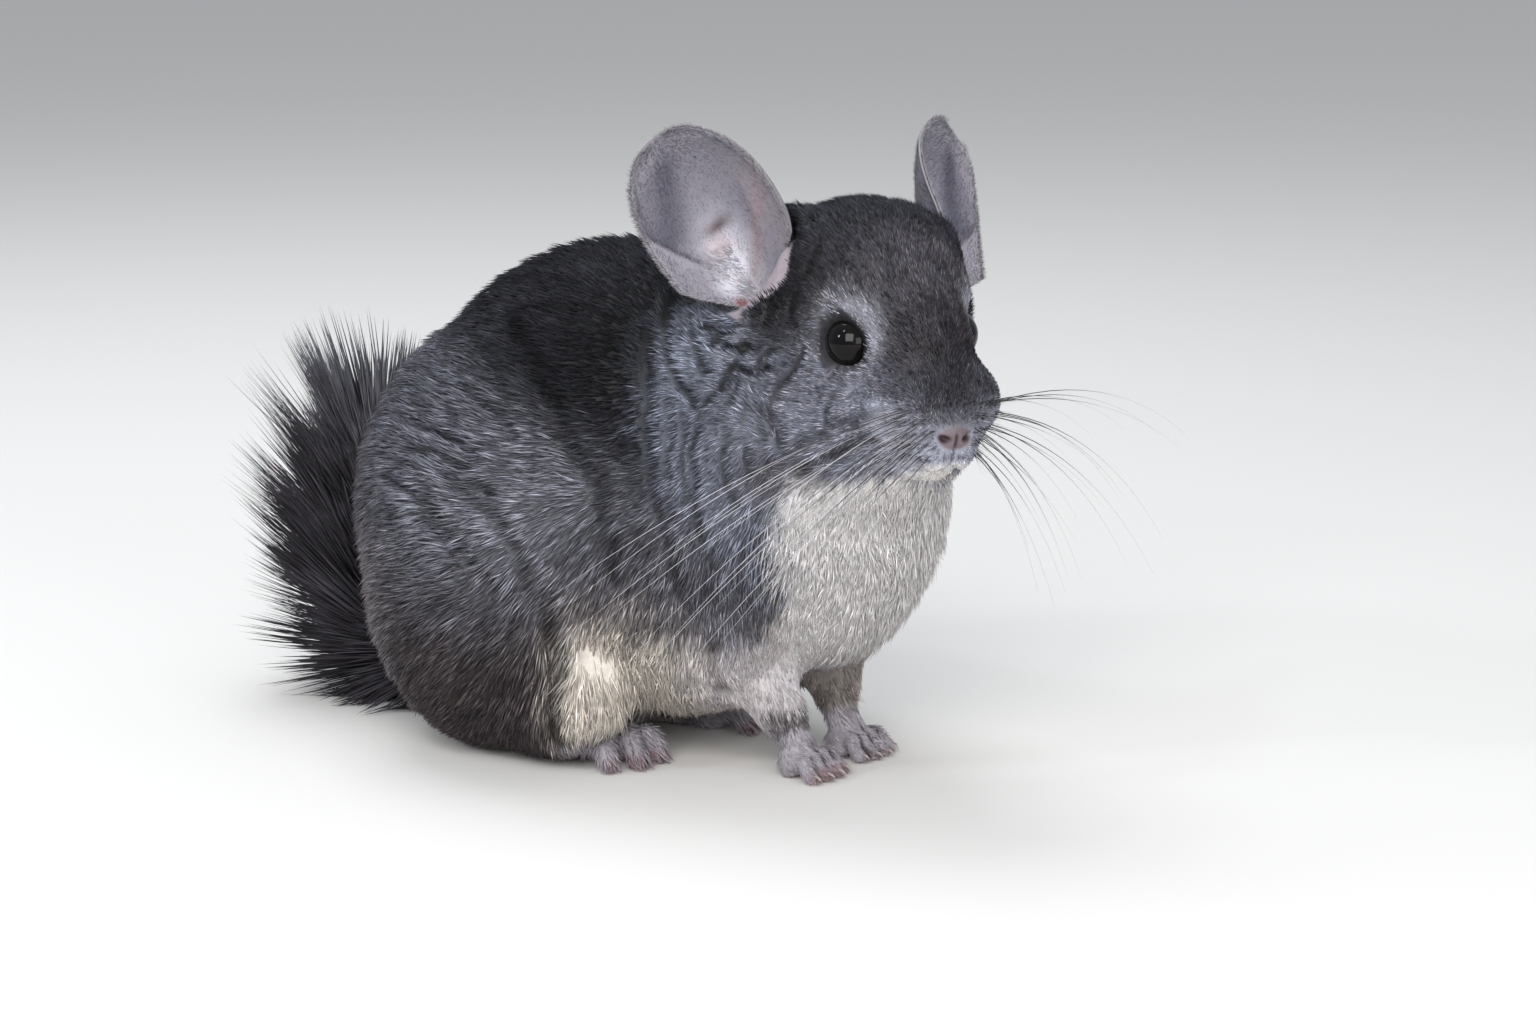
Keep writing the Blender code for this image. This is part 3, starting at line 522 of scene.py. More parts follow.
bodyFolds = {
    "haunchFront": (((-28, -36, 117), (-16, -43, 110), (-8, -46, 102), (1, -49, 90), (9, -48, 78), (13, -48, 65),
                     (14, -46, 54)), 2.4, 0.60),
    "ruff": (((13, -30, 116), (18, -38, 105), (23, -44, 91), (27, -45, 76), (29, -43, 61), (31, -37, 48)), 1.5, 0.65),
    "neckUpper": (((41, -28, 113), (41, -31, 110), (39, -35, 105), (37, -38, 101)), 0.9, 1.1),
    "neckDown": (((37, -38, 101), (35, -40, 96), (36, -42, 91), (36, -43, 85), (37, -43, 76), (38, -42, 67)),
                 0.9, 0.95),
    "neckBack": (((21, -24, 120), (27, -29, 116), (32, -33, 111), (34, -34, 108)), 0.8, 0.9),
    "neckLong": (((12, -18, 124), (16, -27, 117), (23, -34, 110), (31, -38, 103), (34, -39, 101)), 0.9, 1.0),
    "neckSide": (((31, -41, 98), (33, -42, 93), (34, -43, 85), (35, -44, 77)), 0.8, 0.8),
    "neckFar": (((26, -40, 101), (29, -43, 92), (30, -44, 83), (31, -45, 72)), 0.9, 0.7),
    "haunch": (((-46, -50, 82), (-32, -55, 77), (-25, -55, 73), (-17, -54, 68), (-10, -53, 58), (-8, -52, 48)),
               1.6, 0.6),
    "haunchHigh": (((-52, -44, 84), (-44, -50, 76), (-36, -55, 68)), 1.3, 0.55),
    "flankFirst": (((-62, -42, 89), (-50, -46, 89), (-39, -49, 87), (-28, -51, 84)), 1.1, 0.75),
    "flankSecond": (((-66, -46, 74), (-54, -52, 74), (-43, -56, 72), (-36, -58, 67), (-29, -59, 63)), 1.2, 0.85),
    "flankThird": (((-48, -41, 99), (-33, -46, 98), (-22, -49, 95), (-14, -51, 89)), 1.0, 0.6),
    "flankFourth": (((-55, -48, 81), (-42, -52, 82), (-30, -54, 79), (-20, -54, 74)), 1.1, 0.8),
    "flankFifth": (((-40, -58, 66), (-29, -59, 61), (-20, -58, 54), (-14, -56, 48)), 1.1, 0.8),
    "thighFront": (((-5, -50, 48), (-4, -48, 37), (-4, -48, 24), (-7, -45, 10)), 2.0, 0.6),
    "forelegBack": (((34, -32, 37), (28, -20, 23)), 2.0, 0.7),
}
headFolds = {
    "earFirst": (((-33, -37, -7), (-29, -34, -6), (-24, -32, -2)), 1.2, 1.4),
    "earSecond": (((-27, -37, -9), (-23, -34, -9), (-19, -32, -8)), 1.1, 1.4),
    "earThird": (((-18, -36, -12), (-15, -33, -12), (-13, -29, -11)), 0.9, 1.2),
    "temple": (((-18, -22, 21), (-19, -25, 14), (-19, -27, 6), (-16, -31, -1)), 1.2, 0.7),
    "templeFront": (((-11, -19, 20), (-12, -22, 13), (-13, -24, 6), (-13, -25, -1)), 0.9, 0.55),
    "brow": (((-4, -21, 10), (-1, -20, 9), (1, -19, 8)), 0.7, 0.6),
    "cheekFirst": (((-7, -23, -5), (-8, -27, -12), (-7, -30, -19), (-5, -30, -23), (-2, -29, -26)), 0.8, 1.0),
    "cheekSecond": (((-13, -31, -14), (-14, -30, -10), (-14, -28, -7)), 0.7, 0.9),
    "cheekThird": (((-13, -39, -20), (-15, -37, -17), (-15, -36, -15)), 0.7, 0.9),
    "cheekFourth": (((-8, -32, -20), (-5, -33, -25), (-2, -32, -30), (1, -31, -33)), 0.8, 0.8),
    "cheekFifth": (((-12, -35, -18), (-9, -37, -23), (-5, -37, -28), (-2, -36, -34)), 0.8, 0.75),
    "cheekSixth": (((-10, -41, -26), (-7, -42, -32), (-4, -41, -38), (-1, -38, -43)), 0.9, 0.7),
    "underEye": (((7, -20, -11), (6, -21, -16), (5, -21, -20)), 0.8, 0.9),
    "lipSide": (((23, -16, -11), (14, -19, -15), (6, -24, -22), (0, -30, -31)), 1.5, 0.60),
    "mouthCorner": (((16, -14, -22), (9, -19, -27), (2, -24, -32)), 1.6, 0.8),
}


foldShape = {
    "leftShift": 0.004,  # the body's left half stands this much further out
    "wave": 0.0012, "waveSize": 0.006,
    "sunk": 1.15, "roll": (2.3, 1.1),  # in widths of the fold: its bell, and how far off and how wide its roll is
}


def gatherFolds():
    found = []
    for folds, outOf, turn in ((bodyFolds, bodyMiddle, np.eye(3)), (headFolds, headMiddle, headAxes)):
        for line, wide, deep in folds.values():
            lines = []
            for flip in (1, -1):
                spots = np.array([mirrored(spot, flip) for spot in line]) / 1000
                if turn is not headAxes and flip < 0:
                    spots[:, 1] += foldShape["leftShift"]
                lines.append(spots @ turn.T + outOf)
            found.append((lines, wide / 1000, deep))
    return found


foldLines = gatherFolds()


def foldsOn(piece):
    # the same lines, laid on a surface
    tree = treeOf(piece)
    lay = lambda line: np.array([tree.find_nearest(Vector(spot))[0] for spot in line])
    return [([lay(line) for line in lines], wide, deep) for lines, wide, deep in foldLines]


def foldsAt(points, swell=1):
    # how deep in a fold each point is, 0 to about 1, and how high on the roll beside one
    sunk, raised = np.zeros(len(points)), np.zeros(len(points))
    waves = drift(points, foldShape["waveSize"], 1)
    rollGap, rollWide = foldShape["roll"]
    for lines, wide, deep in foldLines:
        distance = toLines(points + foldShape["wave"] * waves, lines)
        sunk = np.maximum(sunk, deep * bell(distance, foldShape["sunk"] * swell * wide))
        raised = np.maximum(raised, deep * bell(distance - rollGap * wide, rollWide * wide))
    return sunk, raised * (1 - np.clip(sunk, 0, 1))


pawShape = {
    "voxel": 0.00062,
    "foreToes": (-0.0054, -0.0019, 0.0019, 0.0054),
    "hindToes": ((-0.0072, 0.0068, 0.0026), (0.0, 0.0082, 0.0029), (0.0070, 0.0050, 0.0027)),
    "foreX": {-1: 0.0445, 1: 0.0422},
    "frontY": 0.006,
    "foreStance": 0.0125,
    "hindToeX": -0.002,
    "hindStance": 0.0240,
    "hindSplayDeg": 20,
    "foreClefts": (-0.0041, 0, 0.0041), "foreCleft": 0.00055,  # between the toes: how far out, and how wide
    "hindClefts": (-0.0039, 0.0038), "hindCleft": 0.00075,
}

# ---- the coat's markings, with painted highlights and painted shade among them

coatTones = {
    "flank": (114, 115, 124),
    # flankHighlight is a painted highlight on the flank
    "flankHighlight": (154, 154, 164),
    "back": (46, 46, 52),
    "saddle": (20, 20, 24),
    "rump": (94, 88, 93),
    "rumpLow": (150, 143, 148),
    "haunchLow": (80, 71, 71),
    "belly": (224, 216, 205),
    "bellyRim": (178, 170, 168),
    "chest": (222, 219, 218),
    "ruff": (140, 145, 160),
    "shoulder": (130, 128, 137),
    "face": (67, 64, 70),
    "forehead": (106, 104, 112),
    "crown": (58, 58, 66),
    "brow": (192, 194, 206),
    "muzzle": (200, 202, 217),
    "noseTop": (34, 32, 36),
    "cheek": (150, 153, 168),
    "chin": (238, 234, 230),
    "nose": (110, 97, 102),
    "cup": (150, 140, 147),
    "nostril": (48, 34, 37),
    "lid": (14, 13, 16),
    "lidEdge": (40, 38, 44),
    "lidHighlight": (196, 190, 200),
    "foreleg": (210, 204, 207),
    # farLegShaded is painted shade on the far foreleg
    "farLegShaded": (176, 166, 160),
    "wrist": (92, 88, 92),
    "paw": (182, 176, 184),
    "toeTip": (176, 152, 156),
    "sole": (150, 124, 126),
}
coatTones = {name: tone(*colour) for name, colour in coatTones.items()}
nosePlace = np.array((0.0325, 0.0, -0.0136))
headEdge = (-0.026, 0, -0.006)  # where the head's coat begins, and where the neck's does
neckEdge = (-0.044, 0, -0.012)
ruffEdge = (-0.040, 0, -0.012)


def aheadOf(head, edge):
    # how far a point is in front of a slanted plane
    return (head - edge) @ (0.8, 0, 0.6)


def toeClefts(x, y, paw, foot):
    # the clefts between the toes, where paw and foot are 1: where painted shade goes
    size, clefts = pawShape, np.zeros(len(x))
    for side in (-1, 1):
        out = y - size["frontY"] - side * size["foreStance"]
        reach = smoothStep(0.0015, 0.0035, x - size["foreX"][side])
        for cleft in size["foreClefts"]:
            clefts = np.maximum(clefts, paw * reach * bell(out - cleft, size["foreCleft"]))
        splay = math.radians(side * size["hindSplayDeg"])
        turn = np.array(((math.cos(splay), -math.sin(splay)), (math.sin(splay), math.cos(splay))))
        ahead, out = (np.column_stack((x - size["hindToeX"], y - side * size["hindStance"])) @ turn).T
        reach = smoothStep(-0.003, 0.001, ahead)
        for cleft in size["hindClefts"]:
            clefts = np.maximum(clefts, foot * reach * bell(out - cleft, size["hindCleft"]))
    return clefts


def paleUnderside(body, normals, wander):
    # the belly's rim, the belly and the breast
    x, y, z = body.T
    edge = z - 0.042 + 0.005 * wander + 5 * np.maximum(x - 0.020, 0) ** 1.5
    rim = bell(edge - 0.005, 0.005) * smoothStep(-0.008, 0.002, x) * smoothStep(0.040, 0.028, x)
    side = smoothStep(0.004, -0.006, edge) * smoothStep(-0.012, 0.003, x + 0.004 * wander)
    below = smoothStep(-0.2, -0.6, normals[:, 2]) * smoothStep(0.030, 0.022, np.abs(y)) * (z < 0.05)
    angle = np.arctan2(y - 0.005, np.maximum(x - 0.026, 0.001))
    reach = 0.88 - 8 * np.maximum(0.046 - z, 0)
    breast = smoothStep(0.14, -0.12, np.abs(angle) - reach + 0.16 * wander) * smoothStep(0.028, 0.036, x)
    return rim, np.maximum(side, below * smoothStep(-0.078, -0.068, x)), breast * smoothStep(0.104, 0.094, z)


def bodyColourAt(body, head, wander, rim, under, breast):
    x, y, z = body.T
    sideOn = smoothStep(0.012, 0.030, np.abs(y))
    saddleEdge = 0.100 - 0.55 * np.maximum(x + 0.015, 0) + 0.27 * np.maximum(-0.015 - x, 0)
    low = smoothStep(0.064, 0.026, z + 0.006 * wander) * smoothStep(-0.068, -0.044, x) * smoothStep(0.030, 0.010, x)
    ruff = smoothStep(-0.006, 0.006, aheadOf(head, ruffEdge) + 0.002 * wander) * smoothStep(0.030, 0.060, z)
    leg = smoothStep(0.048, 0.036, z) * smoothStep(0.016, 0.024, x) * (1 - breast * smoothStep(0.026, 0.038, z))
    cuff = bell(z - 0.0160 - 0.002 * wander, 0.0030) * smoothStep(0.034, 0.040, x) * (x < 0.06) * (y < 0.006)
    return layered(np.tile(coatTones["flank"], (len(body), 1)), coatTones, (
        # a painted highlight on the flank, where the haunch's bulge catches the light
        ("flankHighlight", 0.8 * blob(body, (-0.010, 0, 0.070), (0.8, 0, 1), 0.024)),
        ("back", smoothStep(-0.012, 0.010, z - saddleEdge + 0.004 * wander)),
        ("saddle", 0.9 * blob(body, (0.006, 0, 0.112), (0.7, 0, 1), 0.016)),
        ("rump", 0.75 * smoothStep(-0.060, -0.088, x)),
        # painted light: the low rump is painted lighter to lift the shade under it
        ("rumpLow", 0.8 * smoothStep(0.070, 0.044, z) * smoothStep(-0.040, -0.058, x)),
        ("haunchLow", 0.92 * low),
        ("ruff", ruff * (0.25 + 0.75 * sideOn)),
        ("shoulder", 0.7 * sideOn * blob(body, (0.030, 0, 0.052), (1, 0, 1), 0.020)),
        # painted shade behind the top of the foreleg, in the back's tone
        ("back", 0.3 * sideOn * blob(body, (0.013, 0, 0.063), (1, 0, 1), 0.012)),
        ("bellyRim", 0.6 * rim),
        ("belly", under),
        ("chest", breast),
        ("foreleg", 0.85 * leg * smoothStep(0.046, 0.030, np.abs(y - 0.006))),
        # painted shade: the far foreleg is a darker copy of the foreleg's tone
        ("farLegShaded", leg * smoothStep(0.004, 0.010, y)),
        ("wrist", 0.75 * cuff),
    ))


def faceColourAt(head, eyeGap, wander):
    hx, hy, hz = head.T
    folded = np.column_stack((hx, np.abs(hy), hz))  # both sides of the head in one
    line = -0.0217 - 0.58 * (0.030 - hx) + 0.0008 * wander
    jaw = smoothStep(0.0012, -0.0012, hz - line) * smoothStep(-0.005, 0.006, hx)
    pad = smoothStep(0.012, 0.022, hx) * smoothStep(-0.004, -0.011, hz) * (1 - 0.55 * smoothStep(0.026, 0.032, hx))
    shadow = blob(head, (0.001, 0, -0.0355), (0.6, 0, 1), 0.0050) * smoothStep(0.014, 0.020, np.abs(hy))
    return layered(np.tile(coatTones["cheek"], (len(head), 1)), coatTones, (
        ("face", smoothStep(-0.012, 0.006, hz)),
        ("crown", smoothStep(0.012, 0.028, hz + 0.35 * (-0.004 - hx))),
        ("forehead", 0.9 * blob(head, (0.005, 0, 0.024), (1, 0.6, 1), 0.011)),
        ("muzzle", pad),
        ("face", 0.35 * blob(folded, (-0.024, 0.036, -0.018), 1, 0.012)),
        ("brow", 0.75 * bell(eyeGap - 0.0095, 0.0042) * smoothStep(-0.013, 0.003, hz)),
        ("saddle", 0.85 * blob(folded, (-0.0145, 0.028, 0.006), (0.9, 1, 0.7), 0.0115)),  # in front of the ear
        ("brow", 0.75 * blob(folded, (-0.026, 0.035, -0.006), 1, 0.0060)),  # the rolls under the ear
        ("noseTop", 0.85 * blob(head, (0.0290, 0, -0.0030), (0.8, 0.6, 0.9), 0.0082)),
        ("haunchLow", 0.7 * shadow),
        ("chin", jaw * smoothStep(0.026, 0.016, np.abs(hy))),
    ))


def coatColourAt(points, normals):
    # one set of markings for the skin and the tufts, with painted highlights and painted shade among them
    body, head = points - bodyMiddle, toHead(points)
    x, y, z = body.T
    wander = lumps(points, 0.012, 5) * 0.6 + lumps(points, 0.004, 6) * 0.4
    rim, under, breast = paleUnderside(body, normals, wander)
    colour = bodyColourAt(body, head, wander, rim, under, breast)
    onHead = smoothStep(-0.004, 0.004, aheadOf(head, headEdge) + 0.0015 * wander)
    onHead *= 1 - breast * smoothStep(-0.030, -0.040, head[:, 2])
    colour = mix(colour, faceColourAt(head, eyeGapAt(points), wander), onHead)
    paw = smoothStep(0.0145, 0.0125, z) * smoothStep(0.030, 0.036, x)
    foot = smoothStep(0.0125, 0.0105, z) * smoothStep(-0.016, -0.010, x) * (x < 0.02)
    foot *= smoothStep(0.0425, 0.040, np.abs(y))
    tips = np.maximum(paw * smoothStep(0.050, 0.053, x), foot * smoothStep(0.000, 0.004, x))
    return layered(colour, coatTones, (
        ("paw", np.maximum(paw, foot)),
        # painted shade in the clefts between the toes, in the nostrils' tone
        ("nostril", 0.85 * toeClefts(x, y, paw, foot)),
        ("toeTip", tips * smoothStep(0.0052, 0.0030, z)),
        ("sole", smoothStep(0.0012, 0.0004, z)),
    ))


# ---- the form of the ears

earShape = {
    "length": 0.0502, "half": 0.0220, "rootHalf": 0.0139, "widest": 0.28, "skew": 0.178,
    "curlPower": 1.42, "bow": 0.0047, "thick": 0.00105, "rows": 66, "columns": 72, "sunk": 0.05,
    "cutNose": 0.15, "cutBack": 0.28,  # how high up the two rims are cut away
    "leastNose": 0.02, "leastBack": 0.45,  # what is left of them at the root
}
earPose = {  # each ear is held its own way
    # pale scales an ear's painted colours: the far ear's 1.4 is painted light, lifting the shade it stands in
    -1: {"pale": 1.0, "rootCurl": 1.25, "tipCurl": 0.72, "root": (-0.0272, 0.0237, 0.0011),
         "leans": (-0.668, 0.378, 0.632), "opens": (0.786, 0.610, 0.081)},
    1: {"pale": 1.4, "rootCurl": 1.45, "tipCurl": 0.26, "root": (-0.0233, 0.0209, 0.0013),
        "leans": (-0.657, 0.4275, 0.653), "opens": (0.807, 0.503, 0.231)},
}


def earWidth(along):
    t = np.clip(along / earShape["widest"], 0, 1)
    low = earShape["rootHalf"] + (earShape["half"] - earShape["rootHalf"]) * np.sin(t * math.pi / 2)
    t = np.clip((along - earShape["widest"]) / (1 - earShape["widest"]), 0, 1)
    return np.where(along < earShape["widest"], low, earShape["half"] * np.sqrt(np.maximum(0.0, 1 - t**2.5)))


def earCurl(along, side):
    # half the angle that the ear wraps round
    tip, root = earPose[side]["tipCurl"], earPose[side]["rootCurl"]
    return tip + (root - tip) * np.clip(1 - along, 0, 1.1) ** earShape["curlPower"]


def earBow(along):
    return -earShape["bow"] * np.sin(math.pi * along * 0.9)


def earPoint(along, wide, side):
    half = earWidth(along) * (1 + side * earShape["skew"] * wide * (1 - along))
    curl = earCurl(along, side)
    radius = half / curl
    angle = wide * curl
    rise = radius * (1 - np.cos(angle)) + earBow(along)
    return np.stack((radius * np.sin(angle), rise, along * earShape["length"]), -1)


def earFrame(side):
    length = unit(mirrored(earPose[side]["leans"], side))
    opens = mirrored(earPose[side]["opens"], side)
    opens = unit(opens - length * (opens @ length))
    turn = np.column_stack((np.cross(opens, length), opens, length))
    return headAxes @ turn, fromHead(mirrored(earPose[side]["root"], side))


def earRims(along, front):
    # the sheet is cut away low down, most of it on the side of the nose
    size = earShape
    nose = size["leastNose"] + (1 - size["leastNose"]) * smoothStep(0.0, size["cutNose"], along)
    back = size["leastBack"] + (1 - size["leastBack"]) * smoothStep(0.0, size["cutBack"], along)
    return front * np.where(front > 0, nose, back)


def earPlace(points, side):
    # where points stand in an ear: axes, share along it, how near its sheet (1), and front as above
    turn, root = earFrame(side)
    place = (points - root) @ turn
    along = np.clip(place[:, 2] / earShape["length"], 0, 0.6)
    curl = earCurl(along, side)
    bow = earBow(along)
    wide = np.zeros(len(points))
    for _ in range(2):
        radius = earWidth(along) * (1 + side * earShape["skew"] * np.clip(wide, -1, 1) * (1 - along)) / curl
        wide = np.arctan2(place[:, 0], radius + bow - place[:, 1]) / curl
    return turn, place[:, 2], along, np.hypot(place[:, 0], place[:, 1] - radius - bow) / radius, wide * side


def earFloor(front):
    # how high up the ear its sheet begins
    cut = np.where(front > 0, earShape["cutNose"], earShape["cutBack"])
    least = np.where(front > 0, earShape["leastNose"], earShape["leastBack"])
    share = np.clip((np.abs(front) - least) / (1 - least), 0, 1)
    return cut * (0.5 - np.sin(np.arcsin(1 - 2 * share) / 3))


def openEars(points):
    # the head gives way inside each cup, down to where the sheet begins
    for side in (-1, 1):
        turn, rise, along, gap, front = earPlace(points, side)
        inside = smoothStep(1.16, 1.05, gap) * smoothStep(1.06, 0.96, np.abs(front)) * (along < 0.59)
        floor = np.maximum(0.03, earFloor(front)) * earShape["length"]
        points = points - turn[:, 2] * (inside * np.maximum(rise - floor, 0))[:, None]
    return points


def inEarCup(points):
    # 1 where the head shows at the bottom of an ear
    found = np.zeros(len(points))
    for side in (-1, 1):
        turn, rise, along, gap, front = earPlace(points, side)
        low = smoothStep(0.0045, 0.0025, rise - earFloor(front) * earShape["length"])
        inside = smoothStep(1.16, 1.08, gap) * (rise > -0.001) * (along < 0.40) * low
        found = np.maximum(found, inside * smoothStep(0.95, 0.85, np.abs(front)))
    return found


# ---- paws: small fleshy masses that join the skin


def addBead(bm, centre, radius):
    made = bmesh.ops.create_uvsphere(bm, u_segments=14, v_segments=9, radius=1)
    radius = Vector(radius) if hasattr(radius, "__len__") else Vector((radius,) * 3)
    bmesh.ops.transform(bm, matrix=Matrix.Translation(centre) @ Matrix.Diagonal((*radius, 1)), verts=made["verts"])


def addBeads(bm, line, radii, count=9):
    # beads close enough to fuse into one finger or limb
    spots = np.linspace(0, len(line) - 1, count)
    for spot in spots:
        i = min(int(spot), len(line) - 2)
        share = spot - i
        centre = Vector(line[i]).lerp(Vector(line[i + 1]), share)
        addBead(bm, centre, radii[i] * (1 - share) + radii[i + 1] * share)


def forePlace(side):
    return Matrix.Translation((pawShape["foreX"][side], pawShape["frontY"] + side * pawShape["foreStance"], 0))


def hindPlace(side):
    turn = Matrix.Rotation(math.radians(side * pawShape["hindSplayDeg"]), 4, "Z")
    return Matrix.Translation((pawShape["hindToeX"], side * pawShape["hindStance"], 0)) @ turn


def forePaw(bm, side):
    addBeads(bm, [(-0.010, 0, 0.030), (-0.0055, 0, 0.019), (-0.0035, 0, 0.011), (-0.0005, 0, 0.0050)],
             [0.0052, 0.0044, 0.0043, 0.0046], 14)
    addBead(bm, (-0.0010, 0, 0.0046), (0.0060, 0.0062, 0.0044))
    for out in pawShape["foreToes"]:
        start, knuckle = (-0.001, out * 0.60, 0.0052), (0.0040, out * 0.98, 0.0056)
        middle, end = (0.0068 - abs(out) * 0.30, out * 1.16, 0.0036), (0.0090 - abs(out) * 0.36, out * 1.24, 0.0019)
        addBeads(bm, [start, knuckle, middle, end], [0.0019, 0.00185, 0.00165, 0.00170], 13)
    addBead(bm, (0.0008, side * -0.0062, 0.0024), (0.0016, 0.0012, 0.0014))  # the small thumb
    for out in (-0.0030, 0.0030):
        addBead(bm, (-0.0022, out, 0.0016), (0.0024, 0.0022, 0.0018))  # palm pads
    return forePlace(side)


def hindPaw(bm, side):
    addBead(bm, (-0.018, 0, 0.0050), (0.024, 0.0066, 0.0052))
    addBead(bm, (-0.033, 0, 0.0052), (0.0095, 0.0058, 0.0052))
    addBead(bm, (-0.004, 0, 0.0048), (0.0085, 0.0086, 0.0050))
    for out, reach, thick in pawShape["hindToes"]:
        start, knuckle = (-0.004, out * 0.70, 0.0056), (reach * 0.45, out * 0.98, 0.0068)
        middle, end = (reach * 0.80, out * 1.08, 0.0050), (reach, out * 1.12, 0.0029)
        addBeads(bm, [start, knuckle, middle, end], [thick, thick * 1.02, thick * 0.92, thick * 0.95], 12)
    return hindPlace(side)


def makePaw(build, side):
    bm = bmesh.new()
    place = build(bm, side)
    bmesh.ops.transform(bm, matrix=Matrix.Translation(bodyMiddle) @ place, verts=bm.verts)
    paw = bmeshObject("pawMass", bm)
    modify(paw, "REMESH", mode="VOXEL", voxel_size=pawShape["voxel"])
    modify(paw, "SMOOTH", factor=0.5, iterations=3)
    applied(paw)
    points = pointsOf(paw)
    points[:, 2] = np.maximum(points[:, 2], 0.0002)
    movePoints(paw, points)
    return paw


# ---- the skin

skinBuild = {
    "close": 0.0004,  # how far the solids swell so that their gaps close
    "voxel": 0.00156,
    "relax": 12, "relaxAgain": 4, "relaxSunk": 3,  # rounds of smoothing
    "breast": ((0.066, 0.006, 0.048), 0.024, 0.0018),  # a flat breast: its middle, its width and how deep
    "fold": 0.0015, "roll": 0.0011,  # how deep a fold goes, and how high the roll beside it
    "cheek": (-0.016, 0.036, -0.022),  # in the head frame: the middle of the folds of cheek and neck
    "noseTip": (0.0290, 0, -0.0165),
    "lipPad": ((0.0215, 0.0140, -0.0130), 0.0100),  # in the head frame: its middle, and how far it reaches
    "flesh": ["torso", "neck", "head", "thigh_right", "thigh_left", "foreleg_right", "foreleg_left"],
    "paws": ["forepaw_right", "forepaw_left", "hind_foot_right", "hind_foot_left"],
}


def addLipPad(bm, hand, side):
    # the pad that the whiskers grow from, without them
    middle, reach = skinBuild["lipPad"]
    middle = Vector(fromHead(mirrored(middle, side)))
    spots = [vertex.co for vertex in frame["nodes"]["whiskers_" + hand].data.vertices
             if (vertex.co - middle).length < reach]
    pad = [bm.verts.new(spot) for spot in spots]
    hull = bmesh.ops.convex_hull(bm, input=pad)
    loose = {item for item in hull["geom_interior"] + hull["geom_unused"] if isinstance(item, bmesh.types.BMVert)}
    bmesh.ops.delete(bm, geom=list(loose), context="VERTS")


def closedFlesh():
    bm = bmesh.new()
    for node in [*skinBuild["flesh"], "eye_right", "eye_left"]:
        part = bmesh.new()
        part.from_mesh(frame["nodes"][node].data)
        bmesh.ops.remove_doubles(part, verts=part.verts, dist=0.000002)
        part.normal_update()
        moved = [vertex.co + vertex.normal * skinBuild["close"] for vertex in part.verts]
        for vertex, spot in zip(part.verts, moved):
            vertex.co = spot
        joined = bpy.data.meshes.new("part")
        part.to_mesh(joined)
        part.free()
        bm.from_mesh(joined)
        bpy.data.meshes.remove(joined)
    for hand, side in sides.items():
        addLipPad(bm, hand, side)
    flesh = bmeshObject("skin", bm)
    modify(flesh, "REMESH", mode="VOXEL", voxel_size=skinBuild["voxel"])
    applied(flesh)
    shape = addObject("shape", flesh.data.copy())
    modify(flesh, "SMOOTH", factor=0.5, iterations=skinBuild["relax"])
    modify(flesh, "SHRINKWRAP", target=shape)
    modify(flesh, "SMOOTH", factor=0.5, iterations=skinBuild["relaxAgain"])
    applied(flesh)
    bpy.data.objects.remove(shape)
    return flesh


def sinkUnderCoat(skin):
    points, normals = pointsOf(skin), normalsOf(skin)
    _, length, lift = coatAt(points, normals)
    sunk, raised = foldsAt(points)
    depth = skinCut["coatShare"] * length * np.sin(lift) + skinBuild["close"]
    middle, wide, deep = skinBuild["breast"]
    depth += deep * blob(points - bodyMiddle, middle, (1, 0.7, 1), wide)
    depth += skinBuild["fold"] * sunk - skinBuild["roll"] * raised
    movePoints(skin, points - normals * depth[:, None])
    modify(skin, "SMOOTH", factor=0.5, iterations=skinBuild["relaxSunk"])
    return applied(skin)


def joinPaws(skin):
    paws = [makePaw(build, side) for build in (forePaw, hindPaw) for side in (-1, 1)]
    group = bpy.data.collections.new("paws")
    bpy.context.scene.collection.children.link(group)
    for paw in paws:
        group.objects.link(paw)
    modify(skin, "BOOLEAN", operation="UNION", solver="MANIFOLD", operand_type="COLLECTION", collection=group)
    applied(skin)
    for paw in paws:
        bpy.data.objects.remove(paw)
    bpy.data.collections.remove(group)
    return skin


def refine(skin, centre, radius, times):
    # smaller faces round a spot
    def split(bm):
        for turn in range(times):
            reach = radius * (1 - 0.12 * turn)
            near = lambda vertex: (vertex.co - centre).length < reach
            edges = [edge for edge in bm.edges if near(edge.verts[0]) and near(edge.verts[1])]
            bmesh.ops.subdivide_edges(bm, edges=edges, cuts=1, use_grid_fill=True)
        bmesh.ops.triangulate(bm, faces=[face for face in bm.faces if len(face.verts) > 4])

    editMesh(skin, split)


eyeShape = {
    "looks": (0.46, 0.87, 0.16),  # outward, in the head frame
    "openDeg": 62,
    "cornerDeg": 25,
    "cornerTurn": -0.32,
    "cornerPower": 26,  # how narrow the corner is
    "flatDeg": 6.0,  # how much less it opens above and below
    "lidThick": 0.00050,
    "lidSoftDeg": 3.5,
    "sunk": 0.0012,  # how far behind the eyeball's face the skin goes
}


def eyeAxes(side):
    looks = unit(headAxes @ mirrored(eyeShape["looks"], side))
    front = headAxes @ np.array((1.0, 0, -0.30))
    front = unit(front - looks * (front @ looks))
    return looks, front, np.cross(front, looks) * side


def eyeOpening(turn):
    # how far from its middle the eye is open, in degrees, round its rim
    corner = np.clip(np.cos(turn - eyeShape["cornerTurn"]), 0, 1) ** eyeShape["cornerPower"]
    opening = eyeShape["openDeg"] + eyeShape["cornerDeg"] * corner
    return opening - eyeShape["flatDeg"] * np.abs(np.sin(turn)) ** 3


def roundEye(points, side):
    # how far points are from an eye's middle, their angle from where it looks, and their turn round it
    looks, front, up = eyeAxes(side)
    out = points - eyeMiddles[side]
    far = np.linalg.norm(out, axis=1)
    away = np.degrees(np.arccos(np.clip(out @ looks / np.maximum(far, 1e-9), -1, 1)))
    return out, far, away, np.arctan2(out @ up, out @ front)


